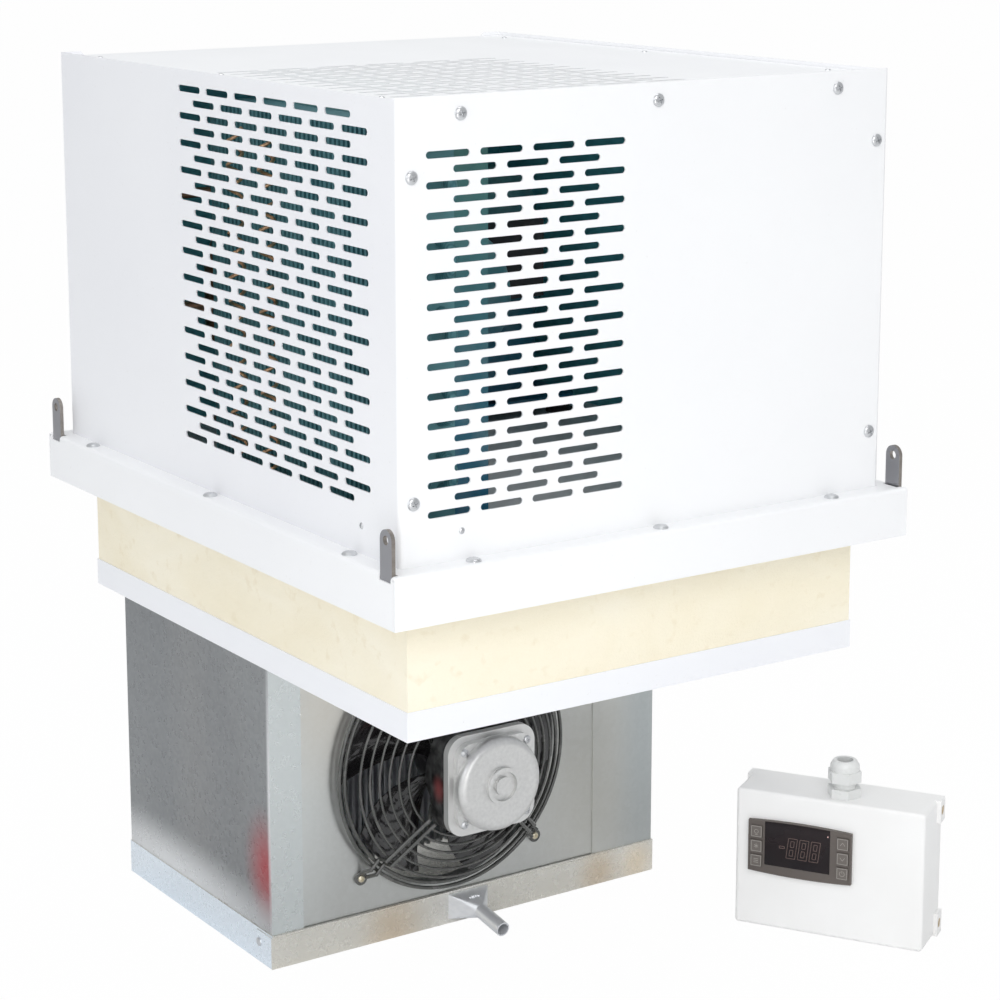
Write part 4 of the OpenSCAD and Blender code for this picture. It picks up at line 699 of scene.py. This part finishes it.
# Each key's lower left corner on the bezel, and the sign drawn round its middle.
KEY_W, KEY_H, KEY_FRAME_IN, SIGN_LINE = 9.6, 10.0, 0.7, 0.42
LEFT_KEYS, RIGHT_KEYS = 2.2, 74.2
HIGH_KEYS, MIDDLE_KEYS, LOW_KEYS = 30.4, 18.0, 5.6
signs = {
    "button_up": (RIGHT_KEYS, HIGH_KEYS, lambda x, z: [
        ((x - 2, z - 1.2), (x, z + 1.4)), ((x, z + 1.4), (x + 2, z - 1.2))]),
    "button_down": (RIGHT_KEYS, MIDDLE_KEYS, lambda x, z: [
        ((x - 2, z + 1.2), (x, z - 1.4)), ((x, z - 1.4), (x + 2, z + 1.2))]),
    "button_power": (RIGHT_KEYS, LOW_KEYS, lambda x, z: (
        ring_lines(x, z, 2.1, 120, 420, 10) + [((x, z + 0.4), (x, z + 2.8))])),
    "button_light": (LEFT_KEYS, HIGH_KEYS, lambda x, z: (
        ring_lines(x, z, 1.7, 0, 360, 10) + [((x - 1.1, z - 2.6), (x + 1.1, z - 2.6))])),
    "button_defrost": (LEFT_KEYS, MIDDLE_KEYS, lambda x, z: star_lines(x, z, 2.1)),
    "button_set": (LEFT_KEYS, LOW_KEYS, lambda x, z: [
        ((x - 2, z + rise), (x + 2, z + rise)) for rise in (-1.5, 0, 1.5)]),
}
for key, (x, z, sign) in signs.items():
    border = frame_lines(x + KEY_FRAME_IN, z + KEY_FRAME_IN, KEY_W - 2 * KEY_FRAME_IN, KEY_H - 2 * KEY_FRAME_IN)
    lines = border + sign(x + KEY_W / 2, z + KEY_H / 2)
    strokes(key + "_sign", lines, SIGN_LINE, KEY_FACE, sign_tone, key)

# The drain spout is welded to the pan: a bead of overlapping ripples runs round the tube's foot.
WELD_X, WELD_Y, WELD_Z = 212.0, 229.9, -369.0
WELD_ACROSS, WELD_UP, RIPPLES = 9.2, 7.6, 22
beads = []
for step in range(RIPPLES):
    turn = step / RIPPLES * math.tau
    bare()
    bpy.ops.mesh.primitive_uv_sphere_add(
        segments=12, ring_count=8, radius=0.0017 + 0.0003 * math.sin(step * 2.3),
        location=spot(WELD_X + WELD_ACROSS * math.cos(turn), WELD_Y, WELD_Z + WELD_UP * math.sin(turn)))
    beads.append(bpy.context.active_object)
finish_piece(joined(beads), "spout_weld", spout_metal, "unit", angle=60)

# Two capillary tubes of thin bright copper stand wound beside the condenser, behind the left panel's
# slots, where they glint through as short warm spots.
COIL_LOW, COIL_HIGH, COIL_RADIUS, TUBE_RADIUS, COIL_STEPS = 4, 280, 5.5, 1.5, 18


def capillary(x, y, pitch):
    bare()
    bpy.ops.mesh.primitive_circle_add(vertices=8, radius=TUBE_RADIUS * MM, rotation=(math.pi / 2, 0, 0),
                                      location=(COIL_RADIUS * MM, 0, 0))
    tube = bpy.context.active_object
    bpy.ops.object.transform_apply(location=True, rotation=True, scale=True)
    apply_modifier(tube, "SCREW", axis="Z", screw_offset=pitch * MM, use_normal_calculate=True,
                   iterations=round((COIL_HIGH - COIL_LOW) / pitch), steps=COIL_STEPS, render_steps=COIL_STEPS)
    bpy.ops.object.mode_set(mode="EDIT")
    bpy.ops.mesh.select_mode(type="EDGE")
    bpy.ops.mesh.select_all(action="DESELECT")
    bpy.ops.mesh.select_non_manifold()
    bpy.ops.mesh.fill()
    bpy.ops.mesh.select_all(action="SELECT")
    bpy.ops.mesh.normals_make_consistent(inside=False)
    bpy.ops.object.mode_set(mode="OBJECT")
    tube.matrix_world = Matrix.Translation(spot(x, y, COIL_LOW))
    bpy.ops.object.transform_apply(location=True, rotation=True, scale=True)
    return tube


bright_copper = satin_metal(
    "bright_copper", (0.95, 0.62, 0.38), (0.72, 0.40, 0.22), 0.30, 120, (1, 1, 0.3), 0.10)
finish_piece(joined([capillary(16, 205, 15), capillary(16, 252, 17)]),
             "capillary_tubes", bright_copper, "unit", angle=50)

# A plain pale floor that keeps a trace of the unit's shadow, and a pale world. The camera sees both as
# white, by Light Path, so that no light on the unit is needed for it.
FLOOR_WHITE, WORLD_STRENGTH = 0.98, 0.60
bpy.ops.object.select_all(action="DESELECT")
bpy.ops.mesh.primitive_plane_add(size=40, location=(0, 0, 0))
floor = bpy.context.active_object
floor.name = "floor"
pale = Finish("pale_floor", (0.90, 0.90, 0.90), 0.9)
seen = pale.node("LightPath", {}, {}, "Is Camera Ray")
glow = pale.node("Emission", {}, {"Color": (1, 1, 1, 1), "Strength": 1.0})
cover = pale.node("MixShader", {}, {0: seen * FLOOR_WHITE, 1: Link(pale.tree, pale.shader.outputs[0]), 2: glow})
pale.tree.links.new(cover.socket, pale.tree.nodes["Material Output"].inputs["Surface"])
floor.data.materials.append(pale.material)

world = bpy.data.worlds.new("studio")
world.use_nodes = True
bpy.context.scene.world = world
sky = world.node_tree
shine = sky.nodes["Background"]
shine.inputs["Color"].default_value = (0.96, 0.98, 1.0, 1)
shine.inputs["Strength"].default_value = WORLD_STRENGTH
plain = sky.nodes.new("ShaderNodeBackground")
plain.inputs["Color"].default_value = (1, 1, 1, 1)
path = sky.nodes.new("ShaderNodeLightPath")
either = sky.nodes.new("ShaderNodeMath")
either.operation = "MAXIMUM"
sky.links.new(path.outputs["Is Camera Ray"], either.inputs[0])
sky.links.new(path.outputs["Is Transmission Ray"], either.inputs[1])
blend = sky.nodes.new("ShaderNodeMixShader")
sky.links.new(either.outputs[0], blend.inputs[0])
sky.links.new(shine.outputs[0], blend.inputs[1])
sky.links.new(plain.outputs[0], blend.inputs[2])
sky.links.new(blend.outputs[0], sky.nodes["World Output"].inputs["Surface"])


# Four soft studio lamps: a broad key from the left front and above, a weaker fill from the left, a low
# strip before the galvanised side, and a broad lamp over the top panel.
def lamp(name, place, target, size, power, shade):
    data = bpy.data.lights.new(name, "AREA")
    data.shape = "RECTANGLE"
    data.size, data.size_y = size
    data.energy = power
    data.color = shade
    made = bpy.data.objects.new(name, data)
    bpy.context.scene.collection.objects.link(made)
    made.location = place
    made.rotation_euler = (Vector(target) - Vector(place)).to_track_quat("-Z", "Y").to_euler()


lamp("key", (-1.1, -2.5, 2.1), (0.0, 0.0, 0.35), (1.9, 1.6), 29, (1.0, 0.99, 0.98))
lamp("fill", (-2.6, -0.7, 1.3), (0.0, 0.0, 0.35), (1.6, 1.6), 11, (0.97, 0.98, 1.0))
lamp("strip", (-0.75, -1.3, 0.12), (-0.05, 0.0, 0.14), (0.22, 0.9), 3, (1.0, 0.99, 0.98))
lamp("top", (0.1, 0.1, 2.6), (0.0, 0.0, 0.4), (1.6, 1.6), 17, (1.0, 1.0, 1.0))
